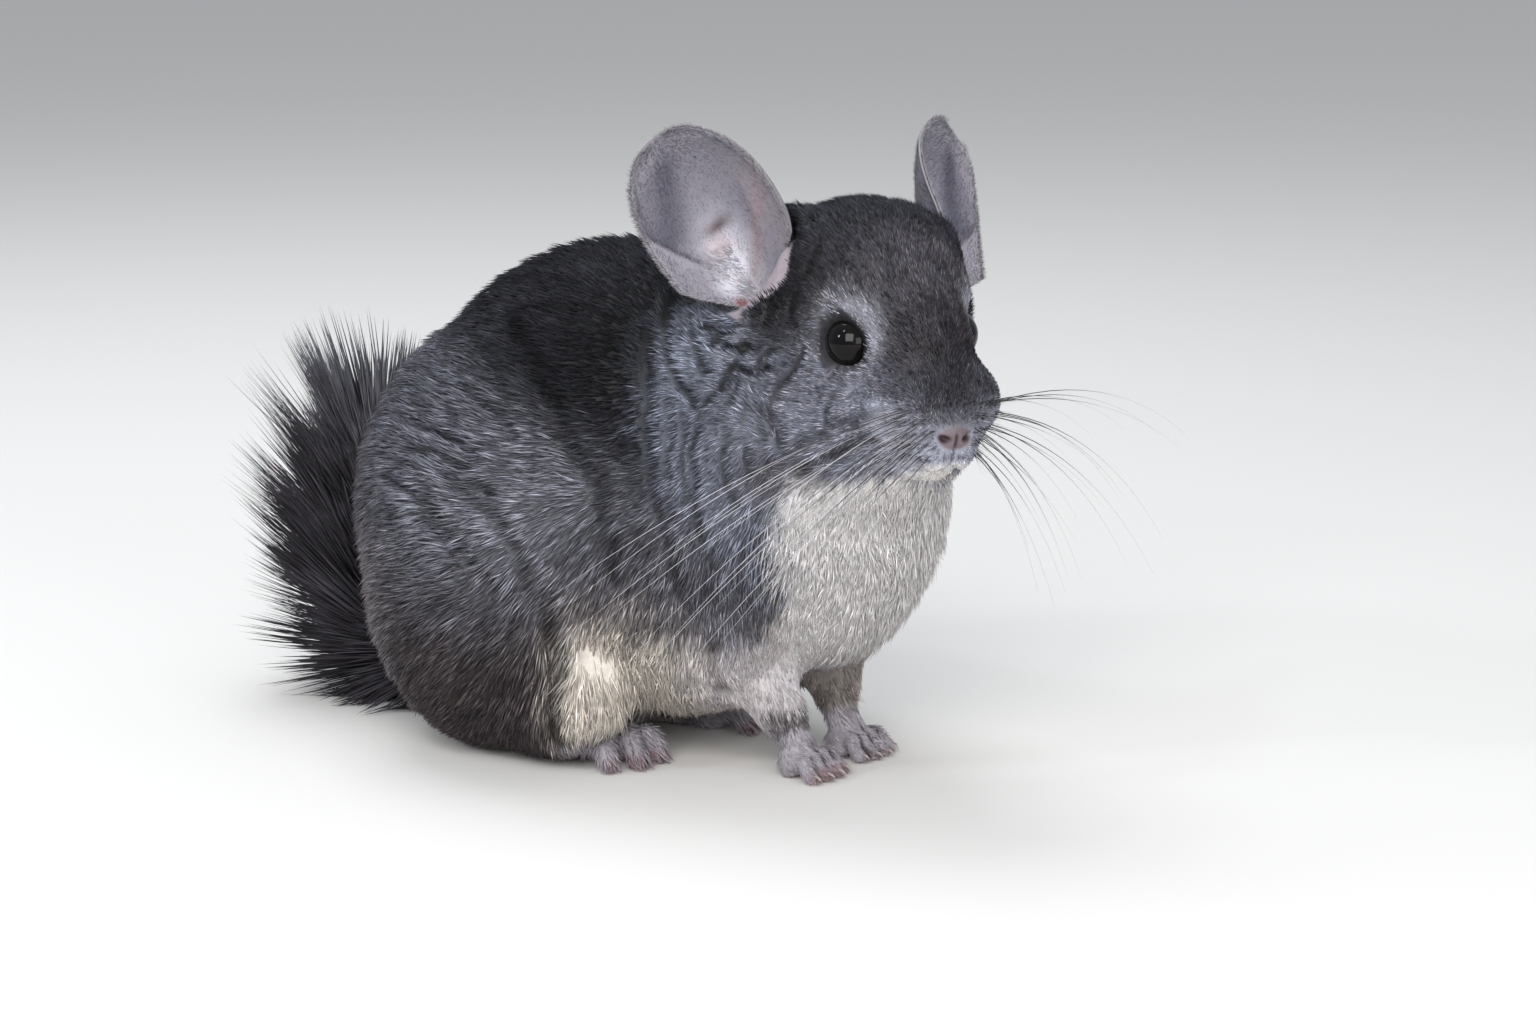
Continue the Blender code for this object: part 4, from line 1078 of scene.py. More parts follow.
def sculptEyes(points):
    # the lids hug the eyeball, and open to an almond with a corner at its front
    for side in (-1, 1):
        out, far, away, turn = roundEye(points, side)
        opening = eyeOpening(turn)
        close = smoothStep(-eyeShape["lidSoftDeg"], eyeShape["lidSoftDeg"], away - opening)
        lid = eyeRadius + eyeShape["lidThick"] * (0.8 + 0.7 * bell(away - opening - 5, 4))
        inside = eyeRadius - eyeShape["sunk"]
        target = inside * (1 - close) + np.maximum(far, lid) * close
        target = np.where(close <= 0, inside, target)
        near = (far < eyeRadius + 0.005) & (away < opening + 40)
        points = np.where(near[:, None], eyeMiddles[side] + out * (target / np.maximum(far, 1e-9))[:, None], points)
    return points


faceShape = {
    "nostril": ((0.0328, 0.0031, -0.0138), 0.0018),
    "lipPuff": ((0.0290, 0.0042, -0.0190), 0.0010),
    "mouthZ": -0.0236,
    "splitZ": (-0.0245, -0.0225, -0.0118, -0.0135),  # the cleft of the lip fades in and out over these
}


def lipSplit(head):
    low, lowFull, high, highFull = faceShape["splitZ"]
    return smoothStep(low, lowFull, head[:, 2]) * smoothStep(high, highFull, head[:, 2]) * (head[:, 0] > 0.022)


def sculptFace(points, normals):
    head = toHead(points)
    hx, hy, hz = head.T
    out = np.zeros(len(points))
    out += 0.0007 * blob(head, nosePlace, (1, 0.85, 1.1), 0.0042)
    centre, deep = faceShape["nostril"]
    for side in (-1, 1):
        gap = head - mirrored(centre, side)
        # a comma: wide towards the middle, and curling out and up
        slit = gap[:, 1] * side
        rise = gap[:, 2] - 0.25 * slit - 90 * slit**2
        out -= deep * np.exp(-((slit / 0.0013) ** 2) - (rise / 0.00062) ** 2) * (hx > 0.026)
        puff, high = faceShape["lipPuff"]
        out += high * blob(head, mirrored(puff, side), 1, 0.0036)
    out -= 0.0012 * bell(hy, 0.00042) * lipSplit(head)
    mouth = faceShape["mouthZ"] + 0.0016 * np.cos(np.clip(hy / 0.0075, -1, 1) * math.pi) - 0.10 * (0.030 - hx)
    out -= 0.0013 * bell(hz - mouth, 0.0006) * (hx > 0.012) * smoothStep(0.0100, 0.0080, np.abs(hy))
    return points + normals * out[:, None]


def buildSkin():
    skin = joinPaws(sinkUnderCoat(closedFlesh()))
    for side in (-1, 1):
        looks = eyeAxes(side)[0]
        refine(skin, Vector(eyeMiddles[side] + looks * eyeRadius * 0.5), 0.0090, 2)
        refine(skin, Vector(earFrame(side)[1] + earFrame(side)[0][:, 2] * 0.008), 0.0200, 1)
        refine(skin, Vector(fromHead(mirrored(skinBuild["cheek"], side))), 0.0280, 1)
    refine(skin, Vector(fromHead(skinBuild["noseTip"])), 0.0125, 2)
    points = openEars(sculptEyes(pointsOf(skin)))
    movePoints(skin, points)
    movePoints(skin, sculptFace(points, normalsOf(skin)))
    editMesh(skin, lambda bm: bmesh.ops.triangulate(bm, faces=bm.faces))
    skin.data.shade_smooth()
    return skin


def unwrapSkin(skin):
    bpy.context.view_layer.objects.active = skin
    skin.select_set(True)
    while skin.data.uv_layers:
        skin.data.uv_layers.remove(skin.data.uv_layers[0])
    skin.data.uv_layers.new(name="OFBake")
    bpy.ops.object.mode_set(mode="EDIT")
    bpy.ops.mesh.select_all(action="SELECT")
    bpy.ops.uv.smart_project(angle_limit=1.15, island_margin=0.002)
    bpy.ops.object.mode_set(mode="OBJECT")
    skin.select_set(False)


def bareSkinAt(points, normals):
    # 1 where no hair grows: nose, lids, soles and the pads of the toes, and the bottom of each ear's cup
    nose = smoothStep(0.0045, 0.0027, np.linalg.norm((toHead(points) - nosePlace) * (0.7, 0.70, 1.15), axis=1))
    bare = nose.copy()
    for side in (-1, 1):
        _, far, away, turn = roundEye(points, side)
        bare = np.maximum(bare, smoothStep(eyeRadius + 0.0009, eyeRadius + 0.0007, far))
        rim = smoothStep(3.8 + 2.6 * np.clip(np.cos(turn), 0, 1) ** 8, 2.6, away - eyeOpening(turn))
        bare = np.maximum(bare, rim * (far < eyeRadius + 0.003))
    low = smoothStep(0.0016, 0.0010, (points - bodyMiddle)[:, 2]) * smoothStep(-0.2, -0.5, normals[:, 2])
    cup = inEarCup(points)
    return np.maximum.reduce((bare, low, cup)), nose, cup


def skinColourAt(points, normals, bare, nose, cup, fold):
    # darker under the hair, partly its slate roots and partly painted shade deep in the coat, and painted shade in
    # the folds; the bare parts in their own tones
    coat = coatColourAt(points, normals)
    past = eyeGapAt(points) - eyeRadius
    # painted shade: darker under the hair, and darker still in the folds
    under = (0.38 + 0.50 * whiteness(coat)) * (1 - 0.90 * fold)
    under *= 0.30 + 0.70 * smoothStep(0.0014, 0.0042, past)
    colour = layered(coat, coatTones, (
        ("nose", nose),
        ("lidEdge", smoothStep(0.0045, 0.0030, past)),
        ("lid", smoothStep(0.0014, 0.0010, past)),
    ))
    for side in (-1, 1):
        _, _, away, turn = roundEye(points, side)
        rim = bell(away - eyeOpening(turn) - 1.6, 1.7) * (past < 0.002)
        # a painted highlight on the wet rim of the lids, at the front corner and low in front
        glint = 0.9 * smoothStep(0.93, 0.99, np.cos(turn - eyeShape["cornerTurn"])) + 0.7 * bell(turn + 0.9, 0.35)
        colour = mix(colour, coatTones["lidHighlight"], np.clip(glint, 0, 1) * rim)
    head = toHead(points)
    # painted shade in the cleft of the lip and, below, in the nostrils
    colour = layered(colour, coatTones, (("cup", cup), ("nostril", 0.8 * bell(head[:, 1], 0.0004) * lipSplit(head))))
    for side in (-1, 1):
        gap = np.linalg.norm((head - mirrored(faceShape["nostril"][0], side)) * (0.6, 1, 1.4), axis=1)
        colour = mix(colour, coatTones["nostril"], smoothStep(0.0022, 0.0009, gap))
    return mix(coat * under[:, None], colour, bare)


skin = buildSkin()
foldLines = foldsOn(skin)
skinPoints, skinNormals = pointsOf(skin), normalsOf(skin)
skinBare, skinNose, skinCup = bareSkinAt(skinPoints, skinNormals)
# the folds, a little wider: painted shade on the skin there, and more tufts
skinFold = np.clip(foldsAt(skinPoints, 1.7)[0], 0, 1)
paintPoints(skin, "coatColour", skinColourAt(skinPoints, skinNormals, skinBare, skinNose, skinCup, skinFold))
skin.data.materials.clear()
skin.data.materials.append(skinLeather)
unwrapSkin(skin)
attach(skin, "root")
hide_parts(*skinBuild["flesh"], *skinBuild["paws"])
print("skin", len(skin.data.polygons), "triangles")

# ---- where the whiskers grow: rows on the pad of the lip

whiskerShape = {
    "radius": 0.000125, "sidesRound": 5,
    "rows": 5, "perRow": 5,
    "aim": (0.0140, 0.0020), "turnsDeg": (14, 40), "rootZ": (-0.0060, -0.0188),  # from inside the head to the pad
    "reach": (0.044, 0.090), "rise": {-1: (-0.40, -1.10), 1: (0.02, -0.90)}, "droop": (-0.10, 0, -0.36),
    "stubs": 4,  # short dark ones beside each
    "dot": 0.00065, "dotTurnsDeg": (-2, 18),
}


def between(pair, share):
    return pair[0] + (pair[1] - pair[0]) * share


def whiskerRoots(side, turnsDeg):
    # in the head frame and for the left side: where each row and place meets the skin
    size = whiskerShape
    tree = treeOf(skin)
    roots = []
    for row in range(size["rows"]):
        for i in range(size["perRow"]):
            back, down = i / (size["perRow"] - 1), row / (size["rows"] - 1)
            turn = math.radians(between(turnsDeg, back) + 3 * (row % 2))
            start = np.array((*size["aim"], between(size["rootZ"], down) - 0.0010 * back))
            way = np.array((math.cos(turn), math.sin(turn), 0))
            first = Vector(fromHead(mirrored(start, side)))
            heading = Vector(headAxes @ mirrored(way, side))
            hit = tree.ray_cast(first, heading)[0]
            roots.append((back, down, mirrored(toHead(np.array(hit)), side)))
    return roots


whiskerSpots = {side: whiskerRoots(side, whiskerShape["turnsDeg"]) for side in (-1, 1)}
dotSpots = [fromHead(mirrored(spot, side)) for side in (-1, 1)
            for _, _, spot in whiskerSpots[side] + whiskerRoots(side, whiskerShape["dotTurnsDeg"])]
whiskerRootTree = nearestTree(dotSpots)


def whiskerDots(points):
    found = np.zeros(len(points))
    near = np.flatnonzero(np.linalg.norm(points - fromHead((0.026, 0, -0.012)), axis=1) < 0.020)
    for i in near:
        found[i] = bell(whiskerRootTree.find(points[i])[2], whiskerShape["dot"])
    return found


# ---- tufts

coatBuild = {
    "tufts": 125000,
    "roots": (0.0016, 0.0062),  # hair grows as densely as hair of these lengths, at least and at most
    "crowding": 1.2,
    "widths": (0.00020, 0.00046),  # the least and the most
    "width": 0.060,  # of the length
    "clump": 7,  # tufts in a clump
    "pull": (0.15, 0.45),  # how far a tuft's tip is drawn to its clump, in short and in long hair
    "sink": (0.0001, 0.06),  # how deep the roots are: so much, and so much of the length
    "bend": 0.55, "rings": 2,
    "swirl": 0.010, "fine": 0.003,  # the sizes of the two fields that turn the hair aside
}
coatMarks = {  # how much darker or lighter the hair is
    # fold is painted shade in the folds, roll a painted highlight on the rolls beside them, gap painted shade between
    # the locks
    "fold": 0.88, "roll": 0.40, "dot": 0.90,
    "crimp": 0.60, "crimpSize": (0.0021, 0.0085),
    "lock": 0.30, "streak": 0.40, "hair": 0.14, "gap": 0.42,
    "tipped": 0.42, "dark": 0.30,  # a fifth of the tufts are light, a quarter are dark
    "faceTipped": 0.50, "faceDark": 0.25,  # so much more on the face
    "faceFleck": (0.60, 0.0011), "faceCloud": (0.40, 0.0030),
}


def makeTufts(name, roots, normals, lies, lengths, widths, lifts, bends, shifts, colours, spots, deep, rings,
              material, folded=False, wrinkled=0):
    # closed three-sided blades: rings of left edge, ridge and right edge, then a tip
    count = len(roots)
    sideways = np.cross(normals, lies)
    steps = np.linspace(0, 1, rings + 1)
    centre = roots - normals * (coatBuild["sink"][0] + coatBuild["sink"][1] * lengths)[:, None]
    points = np.empty((count, rings * 3 + 1, 3))
    place = np.empty((count, rings * 3 + 1, 3))
    chance = draw.random(count)
    # each tuft darker towards its root, down to deep: partly the slate roots, partly painted shade deep in the coat
    shades = np.repeat(1 - (1 - deep)[:, None] * (1 - np.clip(steps / 0.75, 0, 1)) ** 1.2, [3] * rings + [1], axis=1)
    profile = np.array([0.75, 1.0, 0.8, 0.5])[:rings] if rings < 4 else np.array([0.6, 1.0, 0.95, 0.6])
    for i in range(rings + 1):
        if i:
            lift = lifts * (1 - (i - 1) / rings * bends)
            way = lies * np.cos(lift)[:, None] + normals * np.sin(lift)[:, None]
            centre = centre + way * (lengths / rings)[:, None]
        spot = centre + shifts * (steps[i] ** 1.5)[..., None]
        if folded:
            below = spot - normals * ((spot - roots) * normals).sum(1, keepdims=True)
            sunk, raised = foldsAt(below)
            # painted shade in the folds and a painted highlight on the rolls beside them; dark dots at the whisker
            # roots
            mark = 1 - coatMarks["fold"] * np.clip(sunk, 0, 1)
            mark *= (1 + coatMarks["roll"] * raised) * (1 - coatMarks["dot"] * whiskerDots(below))
            crimp = bell(streaksAt(below, sideways, *coatMarks["crimpSize"], 95), 0.13)
            mark *= 1 - coatMarks["crimp"] * crimp * wrinkled
            shades[:, i * 3 : i * 3 + 3] *= mark[:, None]
        if i == rings:
            points[:, -1] = spot
            place[:, -1] = np.column_stack((np.zeros(count), np.ones(count), chance))
            break
        half = (widths * profile[i] / 2)[:, None]
        points[:, i * 3] = spot + sideways * half
        points[:, i * 3 + 1] = spot + normals * half * 0.8
        points[:, i * 3 + 2] = spot - sideways * half
        for k in range(3):
            place[:, i * 3 + k] = np.column_stack((np.full(count, 1 - k), np.full(count, steps[i]), chance))
    points[..., 2] = np.maximum(points[..., 2], 0.0003)
    faces = [(0, 2, 1)]
    for i in range(rings - 1):
        a, b = i * 3, i * 3 + 3
        for p, q in ((0, 1), (1, 2), (2, 0)):
            faces += [(a + p, a + q, b + q), (a + p, b + q, b + p)]
    a, tip = (rings - 1) * 3, rings * 3
    faces += [(a, a + 1, tip), (a + 1, a + 2, tip), (a + 2, a, tip)]
    faces = np.array(faces)
    size = rings * 3 + 1
    allFaces = (faces[None] + (np.arange(count) * size)[:, None, None]).reshape(-1, 3)
    made = meshObject(name, points.reshape(-1, 3), allFaces)
    paintPoints(made, "coatColour", (colours[:, None] * shades[..., None]).reshape(-1, 3))
    paintPoints(made, "hairPlace", place.reshape(-1, 3), "FLOAT_VECTOR")
    layer = made.data.uv_layers.new(name="OFBake")
    patch = spots[:, None] + (place[..., :2] - (0, 0.5)) * (0.0015, 0.003)
    layer.data.foreach_set("uv", np.clip(patch.reshape(-1, 2)[allFaces.ravel()], 0, 1).astype(np.float32).ravel())
    made.data.materials.append(material)
    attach(made, "root")
    return made


def surfaceOf(piece):
    mesh = piece.data
    mesh.calc_loop_triangles()
    corners = np.empty(len(mesh.loop_triangles) * 3, np.int32)
    mesh.loop_triangles.foreach_get("vertices", corners)
    loops = np.empty(len(mesh.loop_triangles) * 3, np.int32)
    mesh.loop_triangles.foreach_get("loops", loops)
    spots = np.empty(len(mesh.loops) * 2, np.float32)
    mesh.uv_layers["OFBake"].data.foreach_get("uv", spots)
    return corners.reshape(-1, 3), spots.reshape(-1, 2)[loops].reshape(-1, 3, 2)


def scatter(points, normals, corners, spots, weights, count):
    # roots spread evenly over the triangles by weight
    a, b, c = (points[corners[:, k]] for k in range(3))
    areas = np.linalg.norm(np.cross(b - a, c - a), axis=1) / 2 * weights[corners].mean(1)
    total = np.cumsum(areas)
    picks = (np.arange(count) + draw.random(count)) / count * total[-1]
    found = np.searchsorted(total, picks)
    u, v = draw.random(count), draw.random(count)
    flip = u + v > 1
    u, v = np.where(flip, 1 - u, u), np.where(flip, 1 - v, v)
    shares = np.column_stack((1 - u - v, u, v))
    chosen = corners[found]
    roots = (points[chosen] * shares[..., None]).sum(1)
    return roots, unit((normals[chosen] * shares[..., None]).sum(1)), (spots[found] * shares[..., None]).sum(1)


corners, skinSpots = surfaceOf(skin)
_, skinLength, _ = coatAt(skinPoints, skinNormals)
hairSize = np.clip(skinLength, *coatBuild["roots"])
weights = (1 - skinBare) * (1 + 0.4 * skinFold) / hairSize ** coatBuild["crowding"]
roots, rootNormals, rootSpots = scatter(skinPoints, skinNormals, corners, skinSpots, weights, coatBuild["tufts"])
lies, lengths, lifts = coatAt(roots, rootNormals)
fold = np.clip(foldsAt(roots)[0], 0, 1)
leaderRoots = roots[:: coatBuild["clump"]]
tree = nearestTree(leaderRoots)
leaders = np.array([tree.find(spot)[1] for spot in roots])
leaderChance = draw.random(len(leaderRoots))[leaders]
count = len(roots)
flow = lies
swirl, fine = drift(roots, coatBuild["swirl"], 21), drift(roots, coatBuild["fine"], 31)
white = whiteness(coatColourAt(roots, rootNormals))
stray = draw.normal(0, 0.10, (count, 3)) * (1 + white)[:, None]
lies = across(lies + 0.20 * swirl + (0.20 + 0.12 * white)[:, None] * fine + stray, rootNormals)
lengths = lengths * (0.82 + 0.36 * draw.random(count)) * (0.9 + 0.2 * leaderChance) * (1 - 0.20 * fold)
widths = np.clip(lengths * coatBuild["width"], *coatBuild["widths"]) * (0.8 + 0.4 * draw.random(count))
widths *= 1 + 0.10 * white
lifts = lifts * (0.85 + 0.30 * leaderChance + draw.normal(0, 0.08, count))
lifts *= (1 - 0.3 * fold) * (1 - 0.28 * white)
lengths *= 0.50 + 0.50 * smoothStep(0.0008, 0.0030, eyeGapAt(roots) - eyeRadius)
pull = between(coatBuild["pull"], smoothStep(0.005, 0.0075, lengths))
shifts = (leaderRoots[leaders] - roots) * pull[:, None]
jitter = draw.normal(0, 1, (count, 3)) * np.minimum(0.30 * lengths, 0.0022)[:, None]
colours = coatColourAt(roots + jitter, rootNormals)
pale = whiteness(colours)
spread = 1 - 0.80 * pale  # white hair varies less than grey
body, head = roots - bodyMiddle, toHead(roots)
streak = streaksAt(roots, flow, 0.0011, 0.0055, 50) + 0.8 * streaksAt(roots, flow, 0.0026, 0.012, 70)
gap = np.abs(streaksAt(roots + 0.0006 * fine, flow, 0.0013, 0.0060, 90))
light = coatMarks["lock"] * (leaderChance - 0.5) + coatMarks["streak"] * streak
light = 1 + spread * (light + coatMarks["hair"] * draw.normal(0, 1, count))
# painted shade in the thin gaps between the locks
light *= 1 - coatMarks["gap"] * spread * bell(gap, 0.10)  # thin dark gaps between the locks
ticked = draw.random(count)
tipped, dark = ticked > 0.80, ticked < 0.25
onFace = smoothStep(-0.020, 0.000, head[:, 0]) * smoothStep(-0.036, -0.026, head[:, 2]) * (1 - pale)
tips = (coatMarks["tipped"] + coatMarks["faceTipped"] * onFace) * tipped
light *= 1 + spread * (tips - (coatMarks["dark"] + coatMarks["faceDark"] * onFace) * dark)
flecks = [share * lumps(roots, size, seed)
          for (share, size), seed in ((coatMarks["faceFleck"], 61), (coatMarks["faceCloud"], 62))]
light *= 1 + spread * onFace * sum(flecks)
colours = colours * np.clip(light, 0.12, 2.2)[:, None]
colours *= 1 + (onFace * tipped * (1 - pale))[:, None] * (0.10, 0.0, -0.10)  # a warm tip here and there
# the share of colour left at the roots: partly slate roots, partly painted shade deep in the coat, less in white hair
deep = 0.42 + 0.48 * pale
# the ruff is crimped most, the face, the saddle and white hair least
wrinkled = 0.45 + 0.55 * smoothStep(0.000, 0.018, body[:, 0])
wrinkled *= 1 - 0.75 * smoothStep(-0.010, 0.006, head[:, 0])
wrinkled *= (1 - 0.80 * pale) * (1 - 0.6 * smoothStep(0.092, 0.104, body[:, 2]) * (head[:, 0] < -0.045))

# each tuft goes to the first piece whose rule it meets
regions = {
    "coatHeadRight": lambda body, head: (aheadOf(head, headEdge) > 0) & (head[:, 1] < 0),
    "coatHeadLeft": lambda body, head: aheadOf(head, headEdge) > 0,
    "coatNeck": lambda body, head: aheadOf(head, neckEdge) > 0,
    "coatFront": lambda body, head: (body[:, 0] > 0.012) & (body[:, 2] > 0.045),
    "coatLegs": lambda body, head: body[:, 0] > 0.012,
    "coatHaunchRight": lambda body, head: (body[:, 1] < 0) & (body[:, 2] < 0.080) & (body[:, 0] > -0.038),
    "coatHaunchLeft": lambda body, head: (body[:, 1] >= 0) & (body[:, 2] < 0.080) & (body[:, 0] > -0.038),
    "coatRumpRight": lambda body, head: (body[:, 1] < 0) & (body[:, 2] < 0.080),
    "coatRumpLeft": lambda body, head: body[:, 2] < 0.080,
    "coatBack": lambda body, head: np.ones(len(body), bool),
}
left = np.ones(count, bool)
for name, rule in regions.items():
    chosen = left & rule(body, head)
    left &= ~chosen
    pick = lambda values: values[chosen]
    coat = makeTufts(name, *map(pick, (roots, rootNormals, lies, lengths, widths, lifts)), coatBuild["bend"],
                     *map(pick, (shifts, colours, rootSpots, deep)), coatBuild["rings"], coatHair, True,
                     pick(wrinkled))
    print(name, len(coat.data.polygons), "triangles")

# ---- eyes


def buildEye(hand, side):
    looks, front, up = eyeAxes(side)
    bm = bmesh.new()
    bmesh.ops.create_uvsphere(bm, u_segments=64, v_segments=40, radius=1)
    turn = Matrix((front, up * side, looks)).transposed().to_4x4()
    place = Matrix.Translation(eyeMiddles[side]) @ turn @ Matrix.Diagonal((eyeRadius,) * 3 + (1,))
    bmesh.ops.transform(bm, matrix=place, verts=bm.verts)
    bmesh.ops.recalc_face_normals(bm, faces=bm.faces)
    eye = bmeshObject("eye" + hand.capitalize(), bm)
    eye.data.shade_smooth()
    out = unit(pointsOf(eye) - eyeMiddles[side])
    paintPoints(eye, "fromPupil", np.arccos(np.clip(out @ looks, -1, 1)) / math.pi * 1.6, "FLOAT")
    eye.data.materials.append(eyeWet)
    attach(eye, "root")
    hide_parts("eye_" + hand)


for hand, side in sides.items():
    buildEye(hand, side)
print("eyes made")

# ---- ears

earTones = {
    "inside": (114, 111, 120), "slate": (78, 77, 88), "top": (134, 131, 139), "light": (122, 119, 128),
    "low": (212, 210, 218), "pink": (182, 162, 166), "band": (130, 115, 119), "spot": (74, 54, 56),
    "flap": (138, 134, 142), "back": (84, 82, 89), "rim": (142, 139, 143), "base": (132, 84, 82),
    "shade": (88, 82, 89), "front": (130, 123, 130),
}
earTones = {name: tone(*colour) for name, colour in earTones.items()}


def foldLine(front):
    # how far along the ear its fold runs, from the back rim to the opening
    return 0.277 + 0.55 * np.clip(-front - 0.38, -0.1, 1)


def earRelief(along, front):
    # folds inside the cup, towards its opening; front is 1 at the rim nearer the nose
    relief = 0.0006 * bell(np.abs(front) - 0.94, 0.05) * smoothStep(0.97, 0.80, along)
    fold = along - foldLine(front)
    held = smoothStep(-0.26, -0.40, front) * smoothStep(-0.99, -0.85, front)
    relief += 0.0013 * bell(fold, 0.022) * held + 0.0007 * smoothStep(0.02, -0.03, fold) * held
    relief += 0.0010 * bell(np.hypot((front + 0.34) * 0.8, (along - 0.19) * 2.4), 0.13)
    ridge = bell(front - 0.42 - 0.5 * (along - 0.25), 0.10)
    relief += 0.0009 * ridge * smoothStep(0.05, 0.15, along) * smoothStep(0.60, 0.45, along)
    relief -= 0.0011 * bell(np.hypot(front + 0.06, (along - 0.45) * 2.4), 0.16)
    relief -= 0.0008 * bell(np.hypot(front + 0.14, (along - 0.33) * 2.4), 0.14)
    return relief


def earPaint(along, front, edge, inside):
    spot = lambda f, a, wide, high: bell(np.hypot((front - f) / wide, (along - a) / high), 1.0)
    fold = along - foldLine(front)
    colour = np.tile(earTones["inside" if inside else "back"], along.shape + (1,))
    if inside:
        slate = bell(front + 0.40 + 1.15 * (0.73 - along), 0.26)
        band = bell(front - 0.22 - 2.0 * (along - 0.226), 0.15) * smoothStep(0.04, 0.14, along)
        colour = layered(colour, earTones, (
            ("light", 0.7 * spot(0.10, 0.62, 0.45, 0.22)),
            ("low", 0.85 * spot(-0.10, 0.26, 0.30, 0.22)),
            ("slate", 0.95 * slate * smoothStep(0.42, 0.56, along) * smoothStep(1.02, 0.84, along)),
            ("front", 0.9 * smoothStep(0.42, 0.70, front) * smoothStep(0.75, 0.50, along)),
            ("flap", smoothStep(0.0, -0.03, fold) * smoothStep(-0.22, -0.40, front)),
            ("shade", 0.6 * bell(fold - 0.030, 0.016) * smoothStep(-0.28, -0.45, front)),
            ("pink", 0.7 * spot(-0.15, 0.37, 0.16, 0.06)),
            ("band", 0.75 * band * smoothStep(0.62, 0.40, along)),
            # painted shade: a dark reddish spot in a small hollow of the cup
            ("spot", 0.9 * spot(-0.05, 0.465, 0.19, 0.030)),
            ("low", 0.95 * spot(-0.28, 0.15, 0.20, 0.09)),
            ("base", 0.9 * spot(-0.40, 0.045, 0.14, 0.035)),
            ("top", 0.8 * smoothStep(0.86, 0.97, along + 0.16 * np.abs(front) ** 2)),
        ))
    rim = np.maximum(smoothStep(0.975, 0.999, np.abs(edge)), smoothStep(0.990, 0.999, along))
    return mix(colour, earTones["rim"], 0.4 * rim)


def earNormal(along, wide, side, step):
    # the way the ear runs, and the way its inside faces
    middle = earPoint(along, wide, side)
    ahead = earPoint(along + step, wide, side) - middle
    normal = unit(np.cross(ahead, earPoint(along, wide + step, side) - middle))
    return unit(ahead), normal * np.sign(normal[..., 1].mean())


def buildEar(hand, side):
    size = earShape
    share = np.linspace(0, 1, size["rows"])
    alongs = -size["sunk"] + (1 + size["sunk"] - 0.002) * (1 - (1 - share) ** 1.45)
    wides = np.sin(math.pi / 2 * np.linspace(-1, 1, size["columns"]))
    along, edge = np.meshgrid(alongs, wides, indexing="ij")
    wide = earRims(along, edge * side) * side
    middle = earPoint(along, wide, side)
    normal = earNormal(along, wide, side, 0.002)[1]
    middle = middle + normal * earRelief(along, wide * side)[..., None]
    thick = size["thick"] * (1 - 0.5 * np.maximum(np.clip(along, 0, 1), np.abs(edge)) ** 4)
    sheets = [middle + normal * (inside * thick / 2)[..., None] for inside in (-1, 1)]
    turn, root = earFrame(side)
    rows, columns = along.shape
    count = rows * columns
    points = np.concatenate([sheet.reshape(-1, 3) for sheet in sheets]) @ turn.T + root
    index = np.arange(count).reshape(rows, columns)
    quads = np.stack((index[:-1, :-1], index[:-1, 1:], index[1:, 1:], index[1:, :-1]), -1).reshape(-1, 4)
    loop = np.concatenate((index[0, :], index[1:, -1], index[-1, -2::-1], index[-2:0:-1, 0]))
    after = np.roll(loop, -1)
    wall = np.column_stack((loop, after, after + count, loop + count))
    faces = np.concatenate((quads, quads[:, ::-1] + count, wall[:, ::-1]))
    ear = meshObject("ear" + hand.capitalize(), points, faces)
    editMesh(ear, lambda bm: bmesh.ops.recalc_face_normals(bm, faces=bm.faces))
    paint = np.concatenate([earPaint(along, wide * side, edge, inside).reshape(-1, 3) for inside in (False, True)])
    # the far ear is painted lighter than the near one: painted light
    paintPoints(ear, "coatColour", paint * earPose[side]["pale"])
    ear.data.materials.append(earLeather)
    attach(ear, "root")
    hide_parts("ear_" + hand)


earDown = {
    "counts": (13000, 8000, 2600, 420),  # inside, outside, on the rim, and longer low in the cup
    "lengths": (0.0012, 0.0018, 0.0016, 0.0036), "liftDeg": (24, 26, 4, 30), "wide": 0.00021,
}


